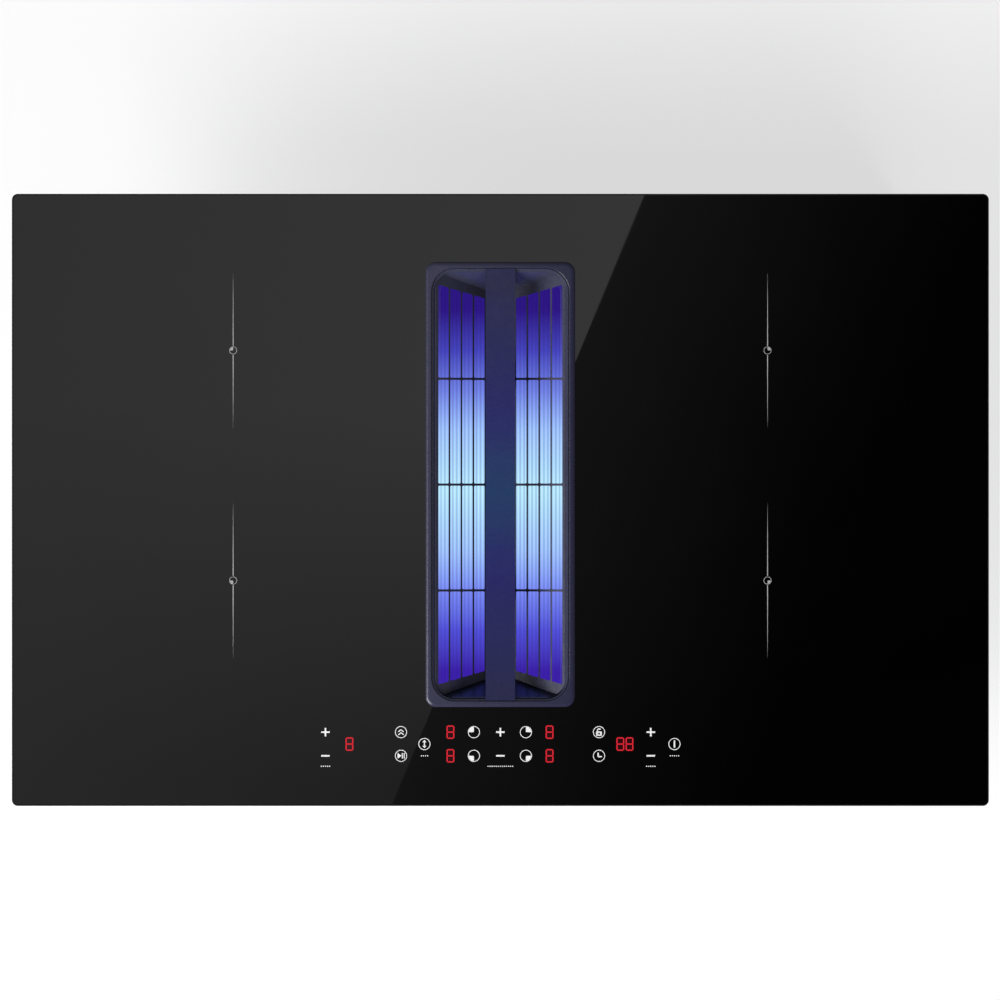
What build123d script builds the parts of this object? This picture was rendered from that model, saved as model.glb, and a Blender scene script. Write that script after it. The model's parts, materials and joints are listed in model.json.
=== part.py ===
from build123d import *
import math
import os

# Downdraft induction cooktop, in millimetres, +Z up, +Y to the back, +X to the user's right.
# z = 0 is the worktop's surface, which the sealing tape under the glass rests on.

# ---- glass and worktop ----
GLASS_LENGTH = 830.0
GLASS_WIDTH = 520.0
GLASS_THICKNESS = 4.0
GLASS_CORNER = 5.0
GLASS_BEVEL = 1.2
SEAL_THICKNESS = 1.5
SEAL_WIDTH = 10.0
SEAL_INSET = 3.0
SEAL_CORNER = 4.0
RIM_LAP_SIDE = 40.0
RIM_LAP_FRONT = 15.0
WORKTOP_PLAY = 4.0

# ---- casing ----
CASING_DEPTH = 56.5
CASING_CORNER = 6.0
SHEET = 1.0
CASING_TOP_GAP = 0.5
FRAME_PLAY = 0.5
GLASS_FRAME_FLANGE = 12.0
GLASS_FRAME_LEG = 14.0
SCREW_DIAMETER = 4.0
SCREW_HEAD_DIAMETER = 7.2
SCREW_HEAD_HEIGHT = 2.2
SCREW_LENGTH = 6.0
SCREW_PLAY = 0.1
SCREW_DROP = 7.0
SIDE_SCREW_PITCH = 150.0
FRONT_SCREW_PITCH = 200.0
VENT_SLOT_WIDTH = 3.0
VENT_SLOT_LENGTH = 26.0
VENT_SLOT_PITCH = 9.0
VENT_SLOTS = 8
FAN_SLOT_WIDTH = 4.0
FAN_SLOT_END = 4.0
SPRING_STRIP_WIDTH = 22.0
SPRING_STRIP_THICKNESS = 0.8
SPRING_REACH = 3.9
SPRING_LENGTH = 40.0
SPRING_FLAT = 12.0
SPRING_CREST = 26.0

# ---- intake grille ----
VENT_OFFSET = 13.0
GRILLE_LENGTH = 378.0
GRILLE_WIDTH = 127.0
GRILLE_CORNER = 9.0
GRILLE_RISE = 3.0
GRILLE_PAD = 0.5
GRILLE_PAD_INSET = 0.5
GRILLE_PAD_PITCH = 135.0
GRILLE_CROWN_WIDTH = 3.6
GRILLE_CROWN_HEIGHT = 2.0
GRILLE_INNER_ROUND = 0.4
GRILLE_BORDER = 5.25
GRILLE_OPENING_CORNER = 20.0
GRILLE_LEDGE = 1.25
SKIRT_WALL = 2.0
SKIRT_DROP = 11.5
SKIRT_PLAY = 1.0
LIP_THICKNESS = 1.0
LIP_GAP = 0.6
LIP_LAND = 0.65
LIP_SLOPE_DROP = 1.6
BASKET_PLAY = 0.25
BASKET_RIM = 1.3
BASKET_WALL = 2.6
LOUVRE_ANGLE = 35.0
LOUVRE_END_RUN = 15.3
BAR_WIDTH = 25.0
BAR_SHEET = 1.5
BAR_SIDE_DROP = 6.0
BAR_END_PLAY = 0.4
SLOTS_PER_SIDE = 4
SLOT_PITCH = 10.15
SLOT_WIDTH = 8.8
SLOT_SIDE_BORDER = 4.1
SLOT_END_BORDER = 12.5
SLOT_END_SLOPE = 0.283
SLOT_FILLET = 1.0
RIB_PITCH = 90.0
RIB_WIDTH = 1.9
POST_LENGTH = 20.0
POST_WIDTH = 12.0

# ---- intake shaft, grease filter and overflow tray ----
SHAFT_WALL = 2.0
SHAFT_FLANGE = 8.0
SHAFT_FLANGE_THICKNESS = 2.0
SHAFT_GASKET = 2.0
SHAFT_TAIL = 7.5
SHAFT_PLAY = 0.5
FILTER_PLAY = 1.5
FILTER_LEDGE = 5.0
FILTER_LEDGE_THICKNESS = 2.0
FILTER_SEAT_DEPTH = 60.0
FILTER_HEIGHT = 28.0
FILTER_SHEET = 1.0
FILTER_FLANGE = 8.0
PLEAT_PITCH = 3.38
PLEAT_SHEET = 3.0
DUCT_WALL = 2.0
DUCT_BOX_PLAY = 2.0
DUCT_BOX_CORNER = 8.0
DUCT_FLANGE = 9.0
DUCT_FLANGE_THICKNESS = 3.0
DUCT_BEAD = 1.5
DUCT_BEAD_WIDTH = 4.0
DUCT_BEAD_PITCH = 34.0
DUCT_BEADS = 3
DUCT_BEAD_START = 46.0
DRAWER_HEIGHT = 24.0
DRAWER_WALL = 1.5
DRAWER_PLAY = 1.5
DRAWER_FACE = 3.0
DRAWER_FACE_LAP = 5.0
DRAWER_GRIP_LENGTH = 60.0
DRAWER_GRIP_DEPTH = 14.0
DRAWER_GRIP_THICKNESS = 3.0

# ---- blower ----
OVERALL_DEPTH = 206.0
BLOWER_X = 185.0
BLOWER_Y = 0.0
IMPELLER_DIAMETER = 180.0
IMPELLER_INNER = 150.0
IMPELLER_HEIGHT = 70.0
IMPELLER_BLADES = 36
BLADE_THICKNESS = 1.2
BLADE_BOW = 3.4
BLADE_LEAD = 6.0
IMPELLER_BACK = 2.0
IMPELLER_BAND = 4.0
IMPELLER_TOP_GAP = 6.0
SCROLL_HEIGHT = 102.0
SCROLL_WALL = 2.0
SCROLL_STEP = 14.0
SCROLL_TONGUE_GAP = 9.0
SCROLL_TONGUE_ANGLE = 50.0
SCROLL_BEAD = 1.5
SCROLL_BEAD_WIDTH = 4.0
SCROLL_BEAD_RISE = 46.0
SCROLL_BOSS = 9.0
SCROLL_BOSS_HEIGHT = 18.0
SCROLL_BOSS_ANGLES = (245.0, 285.0, 310.0, 335.0)
SCROLL_BOSS_RUNS = (40.0, 112.0)
THROAT_REACH = 125.0
EYE_DIAMETER = 144.0
EYE_LIP = 8.0
CHAMBER_LENGTH = 226.0
CHAMBER_WIDTH = 208.0
CHAMBER_CORNER = 60.0
CHAMBER_FLANGE = 6.0
CHAMBER_FLANGE_THICKNESS = 2.5
MOTOR_DIAMETER = 88.0
MOTOR_HEIGHT = 50.0
MOTOR_FLANGE_DIAMETER = 116.0
MOTOR_FLANGE = 3.0
MOTOR_GAP = 3.0
MOTOR_SHAFT_DIAMETER = 8.0
MOTOR_BEARING_PLAY = 0.05
MOTOR_SHAFT_RISE = 14.0
OUTLET_LENGTH = 217.0
OUTLET_HEIGHT = 84.0
OUTLET_CORNER = 8.0
OUTLET_X = 240.0
OUTLET_STRAIGHT = 30.0
OUTLET_END = 250.0
OUTLET_WALL = 2.0
OUTLET_STOP = 4.0
OUTLET_STOP_WIDTH = 4.0
LEAD_DIAMETER = 5.0
LEAD_OUT = 36.0
LEAD_BEND = 25.0

# ---- induction coils ----
COIL_EDGE_INSET = 188.0
COIL_BACK_Y = 127.0
COIL_FRONT_Y = -68.5
COIL_LENGTH = 210.0
COIL_WIDTH = 186.0
COIL_CORNER = 58.0
COIL_HOLE = 52.0
COIL_THICKNESS = 5.0
MICA_THICKNESS = 0.8
MICA_MARGIN = 1.0
FERRITE_LENGTH = 56.0
FERRITE_WIDTH = 12.0
FERRITE_THICKNESS = 5.0
FERRITES = 8
CARRIER_THICKNESS = 2.0
CARRIER_MARGIN = 2.0
CARRIER_HOLE_DIAMETER = 18.0
SENSOR_DIAMETER = 14.0
SENSOR_FOOT_DIAMETER = 24.0
SENSOR_PLAY = 2.0
LEAF_HEIGHT = 9.7
LEAF_LENGTH = 70.0
LEAF_WIDTH = 14.0
LEAF_SHEET = 0.7
DECK_SHEET = 1.0
DECK_INNER_X = 74.0
DECK_WALL_GAP = 17.0
DECK_FRONT_Y = -166.0
DECK_BACK_Y = 224.0
DECK_FOOT = 9.0

# ---- electronics and cooling ----
BOARD_THICKNESS = 1.6
BOARD_LENGTH = 196.0
BOARD_WIDTH = 220.0
BOARD_OFFSET = 9.0
BOARD_Y = -26.0
BOARD_STANDOFF = 5.0
STANDOFF_DIAMETER = 7.0
STANDOFF_INSET = 8.0
SINK_LENGTH = 150.0
SINK_WIDTH = 56.0
SINK_HEIGHT = 24.0
SINK_BASE = 4.0
SINK_FINS = 9
SINK_FIN = 1.6
CAPACITOR_DIAMETER = 22.0
CAPACITOR_HEIGHT = 23.0
CAPACITOR_PITCH = 28.0
CHOKE_DIAMETER = 34.0
CHOKE_WIRE = 10.0
CHOKE_BEVEL = 2.5
FAN_SIZE = 80.0
FAN_CORNER = 4.0
FAN_DEPTH = 25.0
FAN_X = 120.0
FAN_Y = 188.0
FAN_BORE = 76.0
FAN_TIP_PLAY = 1.0
FAN_HUB = 34.0
FAN_HUB_HEIGHT = 16.0
FAN_BLADES = 7
FAN_BLADE_THICKNESS = 1.2
FAN_BLADE_CHORD = 20.0
FAN_BLADE_PITCH = 38.0
FAN_BLADE_ROOT = 2.0
FAN_STRUTS = 3
FAN_STRUT_TURN = 30.0
FAN_STRUT_LAP = 1.0
FAN_PIN_DIAMETER = 3.0
FAN_PIN_PLAY = 0.05
FAN_BACK = 3.0
FAN_SCREW_PITCH = 71.5
FAN_SCREW_DIAMETER = 4.3
TERMINAL_LENGTH = 62.0
TERMINAL_WIDTH = 24.0
TERMINAL_HEIGHT = 18.0
TERMINAL_POLES = 5
TERMINAL_POCKET_LENGTH = 8.7
TERMINAL_POCKET_WIDTH = 14.4
GLAND_WALL_GAP = 71.0
GLAND_Y = 190.0
GLAND_BORE = 11.0
GLAND_THREAD = 16.0
GLAND_NUT = 22.0
GLAND_OUTER_HEIGHT = 12.0
GLAND_INNER_HEIGHT = 5.0

# ---- touch controls ----
CONTROL_Y = -207.4
CONTROL_LENGTH = 330.0
CONTROL_WIDTH = 50.0
CONTROL_DROP = 8.0
CONTROL_TRAY_DEPTH = 6.0
CONTROL_TRAY_WALL = 1.5
DIGIT_LENGTH = 11.0
DIGIT_WIDTH = 15.0
DIGIT_HEIGHT = 7.2
TOUCH_PAD_DIAMETER = 7.0
ROW_PITCH = 20.1
ROW_TOP_Y = -197.3
ROW_MIDDLE_Y = -207.4
ZONE_DIGIT_COLUMNS = (-42.4, 41.8)
HOOD_DIGIT_COLUMN = -128.2
TIMER_DIGIT_COLUMN = 105.8
TWO_ROW_PAD_COLUMNS = (-148.6, -84.4, -22.5, 0.0, 21.7, 83.8, 127.8)
ONE_ROW_PAD_COLUMNS = (-64.5, 147.9)

SIDES = {"left": -1, "right": 1}
ROWS = {"rear": COIL_BACK_Y, "front": COIL_FRONT_Y}

# ---- heights worked out from the sizes above ----
GLASS_BOTTOM = SEAL_THICKNESS
GLASS_TOP = GLASS_BOTTOM + GLASS_THICKNESS
CASING_LENGTH = GLASS_LENGTH - 2 * RIM_LAP_SIDE - 2 * WORKTOP_PLAY
CASING_WIDTH = GLASS_WIDTH - 2 * RIM_LAP_FRONT - 2 * WORKTOP_PLAY
COIL_X = GLASS_LENGTH / 2 - COIL_EDGE_INSET
BOARD_X = COIL_X + BOARD_OFFSET
DECK_OUTER_X = CASING_LENGTH / 2 - DECK_WALL_GAP
GLAND_X = GLAND_WALL_GAP - CASING_LENGTH / 2
CASING_BOTTOM = -CASING_DEPTH
CASING_FLOOR = CASING_BOTTOM + SHEET
BASE = -OVERALL_DEPTH

# ---- plan sizes of the vent, from the grille inwards and outwards ----
OPENING_LENGTH = GRILLE_LENGTH - 2 * GRILLE_BORDER
OPENING_WIDTH = GRILLE_WIDTH - 2 * GRILLE_BORDER
SKIRT_IN_LENGTH = OPENING_LENGTH - 2 * GRILLE_LEDGE
SKIRT_IN_WIDTH = OPENING_WIDTH - 2 * GRILLE_LEDGE
SKIRT_LENGTH = SKIRT_IN_LENGTH + 2 * SKIRT_WALL
SKIRT_WIDTH = SKIRT_IN_WIDTH + 2 * SKIRT_WALL
SKIRT_CORNER = GRILLE_OPENING_CORNER - GRILLE_LEDGE + SKIRT_WALL
VENT_LENGTH = SKIRT_LENGTH + 2 * SKIRT_PLAY
VENT_WIDTH = SKIRT_WIDTH + 2 * SKIRT_PLAY
VENT_CORNER = SKIRT_CORNER + SKIRT_PLAY
SHAFT_IN_LENGTH = SKIRT_LENGTH + 2 * FILTER_PLAY
SHAFT_IN_WIDTH = SKIRT_WIDTH + 2 * FILTER_PLAY
SHAFT_CORNER = SKIRT_CORNER + FILTER_PLAY
SHAFT_LENGTH = SHAFT_IN_LENGTH + 2 * SHAFT_WALL
SHAFT_WIDTH = SHAFT_IN_WIDTH + 2 * SHAFT_WALL
SOCKET_LENGTH = SHAFT_LENGTH + 2 * SHAFT_PLAY
SOCKET_WIDTH = SHAFT_WIDTH + 2 * SHAFT_PLAY
SOCKET_CORNER = SHAFT_CORNER + SHAFT_WALL + SHAFT_PLAY
DUCT_IN_LENGTH = SOCKET_LENGTH + 2 * DUCT_BOX_PLAY
DUCT_IN_WIDTH = SOCKET_WIDTH + 2 * DUCT_BOX_PLAY
DUCT_LENGTH = DUCT_IN_LENGTH + 2 * DUCT_WALL
DUCT_WIDTH = DUCT_IN_WIDTH + 2 * DUCT_WALL
GRILLE_FLOOR = GLASS_TOP + GRILLE_PAD
GRILLE_TOP = GLASS_TOP + GRILLE_RISE
LIP_TOP = GRILLE_FLOOR + LIP_THICKNESS
CAVITY_LENGTH = SKIRT_IN_LENGTH - 2 * BASKET_PLAY - 2 * BASKET_RIM
CAVITY_WIDTH = SKIRT_IN_WIDTH - 2 * BASKET_PLAY - 2 * BASKET_RIM
LOUVRE_DEPTH = (CAVITY_WIDTH - BAR_WIDTH) / 2 * math.tan(math.radians(LOUVRE_ANGLE))
LOUVRE_FLOOR = GRILLE_FLOOR - LOUVRE_DEPTH
FILTER_BOTTOM = -FILTER_SEAT_DEPTH
FILTER_TOP = FILTER_BOTTOM + FILTER_HEIGHT
SHAFT_TOP = GLASS_BOTTOM - SHAFT_GASKET
SHAFT_BOTTOM = CASING_BOTTOM - SHAFT_TAIL
DRAWER_FLOOR = BASE + DUCT_WALL + DRAWER_PLAY
DUCT_FRONT = VENT_OFFSET - DUCT_LENGTH / 2

# ---- blower heights and centres ----
SCROLL_TOP = BASE + SCROLL_HEIGHT
IMPELLER_TOP = SCROLL_TOP - SCROLL_WALL - IMPELLER_TOP_GAP
IMPELLER_BOTTOM = IMPELLER_TOP - IMPELLER_HEIGHT
MOTOR_BOTTOM = BASE + SCROLL_WALL
MOTOR_TOP = MOTOR_BOTTOM + MOTOR_FLANGE + MOTOR_HEIGHT
COIL_TOP = GLASS_BOTTOM - MICA_THICKNESS
COIL_BOTTOM = COIL_TOP - COIL_THICKNESS
CARRIER_TOP = COIL_BOTTOM - FERRITE_THICKNESS
CARRIER_BOTTOM = CARRIER_TOP - CARRIER_THICKNESS
DECK_TOP = CARRIER_BOTTOM - LEAF_HEIGHT
DECK_BOTTOM = DECK_TOP - DECK_SHEET
BOARD_BOTTOM = CASING_FLOOR + BOARD_STANDOFF
BOARD_TOP = BOARD_BOTTOM + BOARD_THICKNESS
CONTROL_TOP = GLASS_BOTTOM - CONTROL_DROP
CONTROL_BOTTOM = CONTROL_TOP - BOARD_THICKNESS

# ---- small helpers ----


def slab(length, width, height, corner, x=0.0, y=0.0, z=0.0):
    """Upright block with rounded vertical corners that stands on height z."""
    return Pos(x, y, z) * extrude(RectangleRounded(length, width, corner), height)


def block(length, width, height, x=0.0, y=0.0, z=0.0):
    """Plain upright block that stands on height z."""
    return Pos(x, y, z + height / 2) * Box(length, width, height)


def rod(diameter, height, x=0.0, y=0.0, z=0.0):
    """Upright cylinder that stands on height z."""
    return Pos(x, y, z + height / 2) * Cylinder(diameter / 2, height)


def ring(outer, inner, height, x=0.0, y=0.0, z=0.0):
    """Upright rounded ring; outer and inner are (length, width, corner)."""
    margin = height
    hole = slab(*inner[:2], height + 2 * margin, inner[2], x, y, z - margin)
    return slab(*outer[:2], height, outer[2], x, y, z) - hole


def group(solids):
    """Separate solids kept in one node."""
    parts = []
    for solid in solids:
        parts.extend(solid.solids())
    return Compound(children=parts)


def vent(width, length, corner):
    """Plan size of a shape about the vent: across X, along Y."""
    return (width, length, corner)


# ---- glass, seal and casing ----


def glass_top():
    plate = slab(GLASS_LENGTH, GLASS_WIDTH, GLASS_THICKNESS, GLASS_CORNER, z=GLASS_BOTTOM)
    plate = chamfer(plate.edges().group_by(Axis.Z)[-1], GLASS_BEVEL)
    below = GLASS_BOTTOM - GLASS_THICKNESS
    opening = slab(VENT_WIDTH, VENT_LENGTH, 3 * GLASS_THICKNESS, VENT_CORNER, 0, VENT_OFFSET, below)
    return plate - opening


def rim_seal():
    length = GLASS_LENGTH - 2 * SEAL_INSET
    width = GLASS_WIDTH - 2 * SEAL_INSET
    outer = (length, width, SEAL_CORNER)
    inner = (length - 2 * SEAL_WIDTH, width - 2 * SEAL_WIDTH, SEAL_CORNER)
    return ring(outer, inner, SEAL_THICKNESS)


def glass_frame():
    length = CASING_LENGTH - 2 * SHEET - 2 * FRAME_PLAY
    width = CASING_WIDTH - 2 * SHEET - 2 * FRAME_PLAY
    corner = CASING_CORNER - SHEET - FRAME_PLAY
    flange_in = (length - 2 * GLASS_FRAME_FLANGE, width - 2 * GLASS_FRAME_FLANGE, corner)
    flange = ring((length, width, corner), flange_in, SHEET, z=GLASS_BOTTOM - SHEET)
    leg_in = (length - 2 * SHEET, width - 2 * SHEET, corner - SHEET)
    leg = ring((length, width, corner), leg_in, GLASS_FRAME_LEG, z=GLASS_BOTTOM - GLASS_FRAME_LEG)
    frame = flange + leg
    for place in side_screws():
        frame = frame - place * Cylinder(SCREW_DIAMETER / 2 + SCREW_PLAY, 8 * SHEET)
    return frame


def side_screws():
    """Axes of the casing's screws: local +Z points out of the casing."""
    height = GLASS_BOTTOM - SCREW_DROP
    places = []
    for y in (-SIDE_SCREW_PITCH, 0.0, SIDE_SCREW_PITCH):
        for side in (-1, 1):
            places.append(Pos(side * CASING_LENGTH / 2, y, height) * Rot(0, side * 90, 0))
    for x in (-1.5, -0.5, 0.5, 1.5):
        for side in (-1, 1):
            spot = Pos(x * FRONT_SCREW_PITCH, side * CASING_WIDTH / 2, height)
            places.append(spot * Rot(-side * 90, 0, 0))
    return places


def panhead_screws():
    head = Pos(0, 0, SCREW_HEAD_HEIGHT / 2) * Cylinder(SCREW_HEAD_DIAMETER / 2, SCREW_HEAD_HEIGHT)
    head = chamfer(head.edges().group_by(Axis.Z)[-1], SCREW_HEAD_HEIGHT / 3)
    shank = Pos(0, 0, -SCREW_LENGTH / 2) * Cylinder(SCREW_DIAMETER / 2, SCREW_LENGTH)
    screw = head + shank
    screws = []
    for place in side_screws():
        lift = SPRING_STRIP_THICKNESS if is_spring_screw(place) else 0.0
        screws.append(place * Pos(0, 0, lift) * screw)
    return group(screws)


def is_spring_screw(place):
    spot = place.position
    return abs(spot.X) > CASING_LENGTH / 2 - SHEET and abs(spot.Y) > SIDE_SCREW_PITCH / 2


def fan_slots(x, y):
    """Air slots in the casing floor under one cooling fan."""
    cuts = []
    count = int(FAN_BORE / VENT_SLOT_PITCH)
    for n in range(count):
        across = (n - (count - 1) / 2) * VENT_SLOT_PITCH
        length = 2 * math.sqrt((FAN_BORE / 2) ** 2 - across**2) - FAN_SLOT_END
        slot = SlotOverall(length, FAN_SLOT_WIDTH)
        cuts.append(Pos(x, y + across, CASING_BOTTOM - SHEET) * extrude(slot, 3 * SHEET))
    return cuts


def wall_louvres(side):
    """Upright exhaust slots in one side wall of the casing."""
    cuts = []
    for y in (-1, 1):
        for n in range(VENT_SLOTS):
            along = y * SIDE_SCREW_PITCH / 2 + (n - (VENT_SLOTS - 1) / 2) * VENT_SLOT_PITCH
            slot = Rot(0, 90, 0) * SlotOverall(VENT_SLOT_LENGTH, VENT_SLOT_WIDTH)
            place = Pos(side * CASING_LENGTH / 2, along, CASING_BOTTOM / 2 - 4 * SHEET)
            cuts.append(place * extrude(slot, 2 * SHEET, both=True))
    return cuts


def board_posts():
    """Places of the posts that carry the two power boards."""
    places = []
    for side in (-1, 1):
        for x in (-1, 1):
            for y in (-1, 1):
                along = side * BOARD_X + x * (BOARD_LENGTH / 2 - STANDOFF_INSET)
                across = BOARD_Y + y * (BOARD_WIDTH / 2 - STANDOFF_INSET)
                places.append((along, across))
    return places


def casing_tray():
    height = CASING_DEPTH + GLASS_BOTTOM - CASING_TOP_GAP
    outer = slab(CASING_LENGTH, CASING_WIDTH, height, CASING_CORNER, z=CASING_BOTTOM)
    length = CASING_LENGTH - 2 * SHEET
    width = CASING_WIDTH - 2 * SHEET
    tray = outer - slab(length, width, height, CASING_CORNER - SHEET, z=CASING_FLOOR)
    opening_bottom = CASING_BOTTOM - 2 * SHEET
    tray = tray - slab(SOCKET_WIDTH, SOCKET_LENGTH, 4 * SHEET, SOCKET_CORNER, 0, VENT_OFFSET, opening_bottom)
    for x, y in board_posts():
        tray = tray + rod(STANDOFF_DIAMETER, BOARD_STANDOFF, x, y, CASING_FLOOR)
    cuts = []
    for side in (-1, 1):
        cuts.extend(fan_slots(side * FAN_X, FAN_Y))
        cuts.extend(wall_louvres(side))
    for place in side_screws():
        cuts.append(place * Cylinder(SCREW_DIAMETER / 2 + SCREW_PLAY, 4 * SHEET))
    cuts.append(rod(GLAND_THREAD, 4 * SHEET, GLAND_X, GLAND_Y, CASING_BOTTOM - 2 * SHEET))
    for cut in cuts:
        tray = tray - cut
    return tray


def worktop_springs():
    """Bowed strips that press on the sides of the worktop's cut-out."""
    top = GLASS_BOTTOM - SCREW_DROP + SPRING_STRIP_WIDTH / 4
    outer = FilletPolyline(
        (0, top),
        (0, top - SPRING_FLAT),
        (SPRING_REACH - SPRING_STRIP_THICKNESS, top - SPRING_CREST),
        (0, top - SPRING_LENGTH),
        radius=SPRING_REACH,
    )
    strip_face = make_face(offset(outer, SPRING_STRIP_THICKNESS, side=Side.LEFT, kind=Kind.ARC))
    strip = extrude(Plane.XZ * strip_face, SPRING_STRIP_WIDTH / 2, both=True)
    hole = Pos(0, 0, GLASS_BOTTOM - SCREW_DROP) * Rot(0, 90, 0)
    strip = strip - hole * Cylinder(SCREW_DIAMETER / 2 + SCREW_PLAY, 8 * SPRING_STRIP_THICKNESS)
    springs = []
    for y in (-SIDE_SCREW_PITCH, SIDE_SCREW_PITCH):
        springs.append(Pos(CASING_LENGTH / 2, y, 0) * strip)
        springs.append(Pos(-CASING_LENGTH / 2, y, 0) * Rot(0, 0, 180) * strip)
    return group(springs)


# ---- intake grille, in a frame centred on the vent ----


def crown_waste():
    """What is taken off the frame's outer edge: outside a quarter ellipse, swept round its outline."""
    width, height = GRILLE_CROWN_WIDTH, GRILLE_CROWN_HEIGHT
    beyond = GRILLE_RISE
    corner = Pos((beyond - width) / 2, (beyond - height) / 2) * Rectangle(width + beyond, height + beyond)
    section = corner - Pos(-width, -height) * Ellipse(width, height)
    across = Plane(origin=(GRILLE_WIDTH / 2, 0, GRILLE_TOP), x_dir=(1, 0, 0), z_dir=(0, -1, 0))
    outline = Pos(0, 0, GRILLE_TOP) * RectangleRounded(GRILLE_WIDTH, GRILLE_LENGTH, GRILLE_CORNER)
    return sweep(across * section, path=outline.face().outer_wire())


def intake_frame():
    thickness = GRILLE_TOP - GRILLE_FLOOR
    flange = slab(GRILLE_WIDTH, GRILLE_LENGTH, thickness, GRILLE_CORNER, z=GRILLE_FLOOR) - crown_waste()
    flange = flange - slab(
        OPENING_WIDTH, OPENING_LENGTH, 3 * thickness, GRILLE_OPENING_CORNER, z=GRILLE_FLOOR - thickness
    )
    rim = flange.faces().sort_by(Axis.Z)[-1].inner_wires()[0]
    flange = fillet(rim.edges(), GRILLE_INNER_ROUND)
    outer = vent(SKIRT_WIDTH, SKIRT_LENGTH, SKIRT_CORNER)
    inner = vent(SKIRT_IN_WIDTH, SKIRT_IN_LENGTH, SKIRT_CORNER - SKIRT_WALL)
    skirt = ring(outer, inner, SKIRT_DROP, z=GRILLE_FLOOR - SKIRT_DROP)
    return Pos(0, VENT_OFFSET, 0) * (flange + skirt)


def hipped_trough(width, length, depth, top):
    """Trough with two long slopes, two steeper ends and a flat keel."""
    rim = Pos(0, 0, top) * Rectangle(width, length)
    keel = Pos(0, 0, top - depth) * Rectangle(BAR_WIDTH, length - 2 * LOUVRE_END_RUN)
    return loft([rim, keel], ruled=True)


def slot_outline(start, end, low, high):
    """One slot in plan between x = start and end; low and high give its ends at an x."""
    corners = [(start, low(start)), (end, low(end)), (end, high(end)), (start, high(start))]
    outline = make_face(Polyline(*corners, close=True))
    return fillet(outline.vertices(), SLOT_FILLET)


def louvre_slots():
    """All the slots of one side, between the cross ribs."""
    first_edge = CAVITY_WIDTH / 2 + BASKET_RIM - SLOT_SIDE_BORDER
    outer_end = CAVITY_LENGTH / 2 + BASKET_RIM - SLOT_END_BORDER

    def slanted(sign):
        return lambda x: sign * (outer_end - SLOT_END_SLOPE * (first_edge - abs(x)))

    def level(y):
        return lambda x: y

    half = RIB_WIDTH / 2
    rows = [
        (slanted(-1), level(-RIB_PITCH - half)),
        (level(-RIB_PITCH + half), level(-half)),
        (level(half), level(RIB_PITCH - half)),
        (level(RIB_PITCH + half), slanted(1)),
    ]
    depth = LOUVRE_DEPTH + 4 * BASKET_WALL
    slots = []
    for n in range(SLOTS_PER_SIDE):
        end = first_edge - n * SLOT_PITCH
        for low, high in rows:
            outline = slot_outline(end - SLOT_WIDTH, end, low, high)
            slots.append(Pos(0, 0, GRILLE_FLOOR - depth) * extrude(outline, depth))
    return slots


def louvre_basket():
    rim_width = CAVITY_WIDTH + 2 * BASKET_RIM
    rim_length = CAVITY_LENGTH + 2 * BASKET_RIM
    corner = GRILLE_OPENING_CORNER - GRILLE_LEDGE - BASKET_PLAY
    shell_height = LOUVRE_DEPTH + 2 * BASKET_WALL
    bounds = slab(rim_width, rim_length, shell_height, corner, z=GRILLE_FLOOR - shell_height)
    shell = hipped_trough(rim_width, rim_length, LOUVRE_DEPTH, GRILLE_FLOOR - BASKET_WALL)
    shell = shell + block(rim_width, rim_length, BASKET_WALL, z=GRILLE_FLOOR - BASKET_WALL)
    shell = shell & bounds
    lip_width = OPENING_WIDTH - 2 * LIP_GAP
    lip_length = OPENING_LENGTH - 2 * LIP_GAP
    lip_corner = GRILLE_OPENING_CORNER - LIP_GAP
    lip = slab(lip_width, lip_length, LIP_THICKNESS, lip_corner, z=GRILLE_FLOOR)
    land_width = lip_width - 2 * LIP_LAND
    land_length = lip_length - 2 * LIP_LAND
    land = Pos(0, 0, LIP_TOP) * RectangleRounded(land_width, land_length, lip_corner - LIP_LAND)
    foot_corner = corner - BASKET_RIM
    foot = Pos(0, 0, LIP_TOP - LIP_SLOPE_DROP) * RectangleRounded(CAVITY_WIDTH, CAVITY_LENGTH, foot_corner)
    slope = loft([foot, land], ruled=True)
    cavity = hipped_trough(CAVITY_WIDTH, CAVITY_LENGTH, LOUVRE_DEPTH, GRILLE_FLOOR)
    cavity = cavity + block(CAVITY_WIDTH, CAVITY_LENGTH, 2 * LIP_THICKNESS, z=GRILLE_FLOOR)
    cavity_height = LOUVRE_DEPTH + 2 * LIP_THICKNESS
    cavity = cavity & slab(
        CAVITY_WIDTH, CAVITY_LENGTH, cavity_height, corner - BASKET_RIM, z=GRILLE_FLOOR - LOUVRE_DEPTH
    )
    basket = shell + lip - cavity - slope
    for slot in louvre_slots():
        basket = basket - slot
        basket = basket - mirror(slot, Plane.YZ)
    for y in (-RIB_PITCH, RIB_PITCH):
        height = LIP_TOP - LOUVRE_FLOOR
        basket = basket + block(POST_WIDTH, POST_LENGTH, height, 0, y, LOUVRE_FLOOR)
    return Pos(0, VENT_OFFSET, 0) * basket


def centre_bar():
    length = OPENING_LENGTH - 2 * BAR_END_PLAY
    top = block(BAR_WIDTH, length, BAR_SHEET, z=LIP_TOP)
    side_length = CAVITY_LENGTH - 2 * BAR_END_PLAY
    bar = top
    for side in (-1, 1):
        across = side * (BAR_WIDTH - BAR_SHEET) / 2
        drop = LIP_TOP - BAR_SIDE_DROP
        bar = bar + block(BAR_SHEET, side_length - 2 * BAR_SIDE_DROP, BAR_SIDE_DROP, across, 0, drop)
    return Pos(0, VENT_OFFSET, 0) * bar


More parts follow.
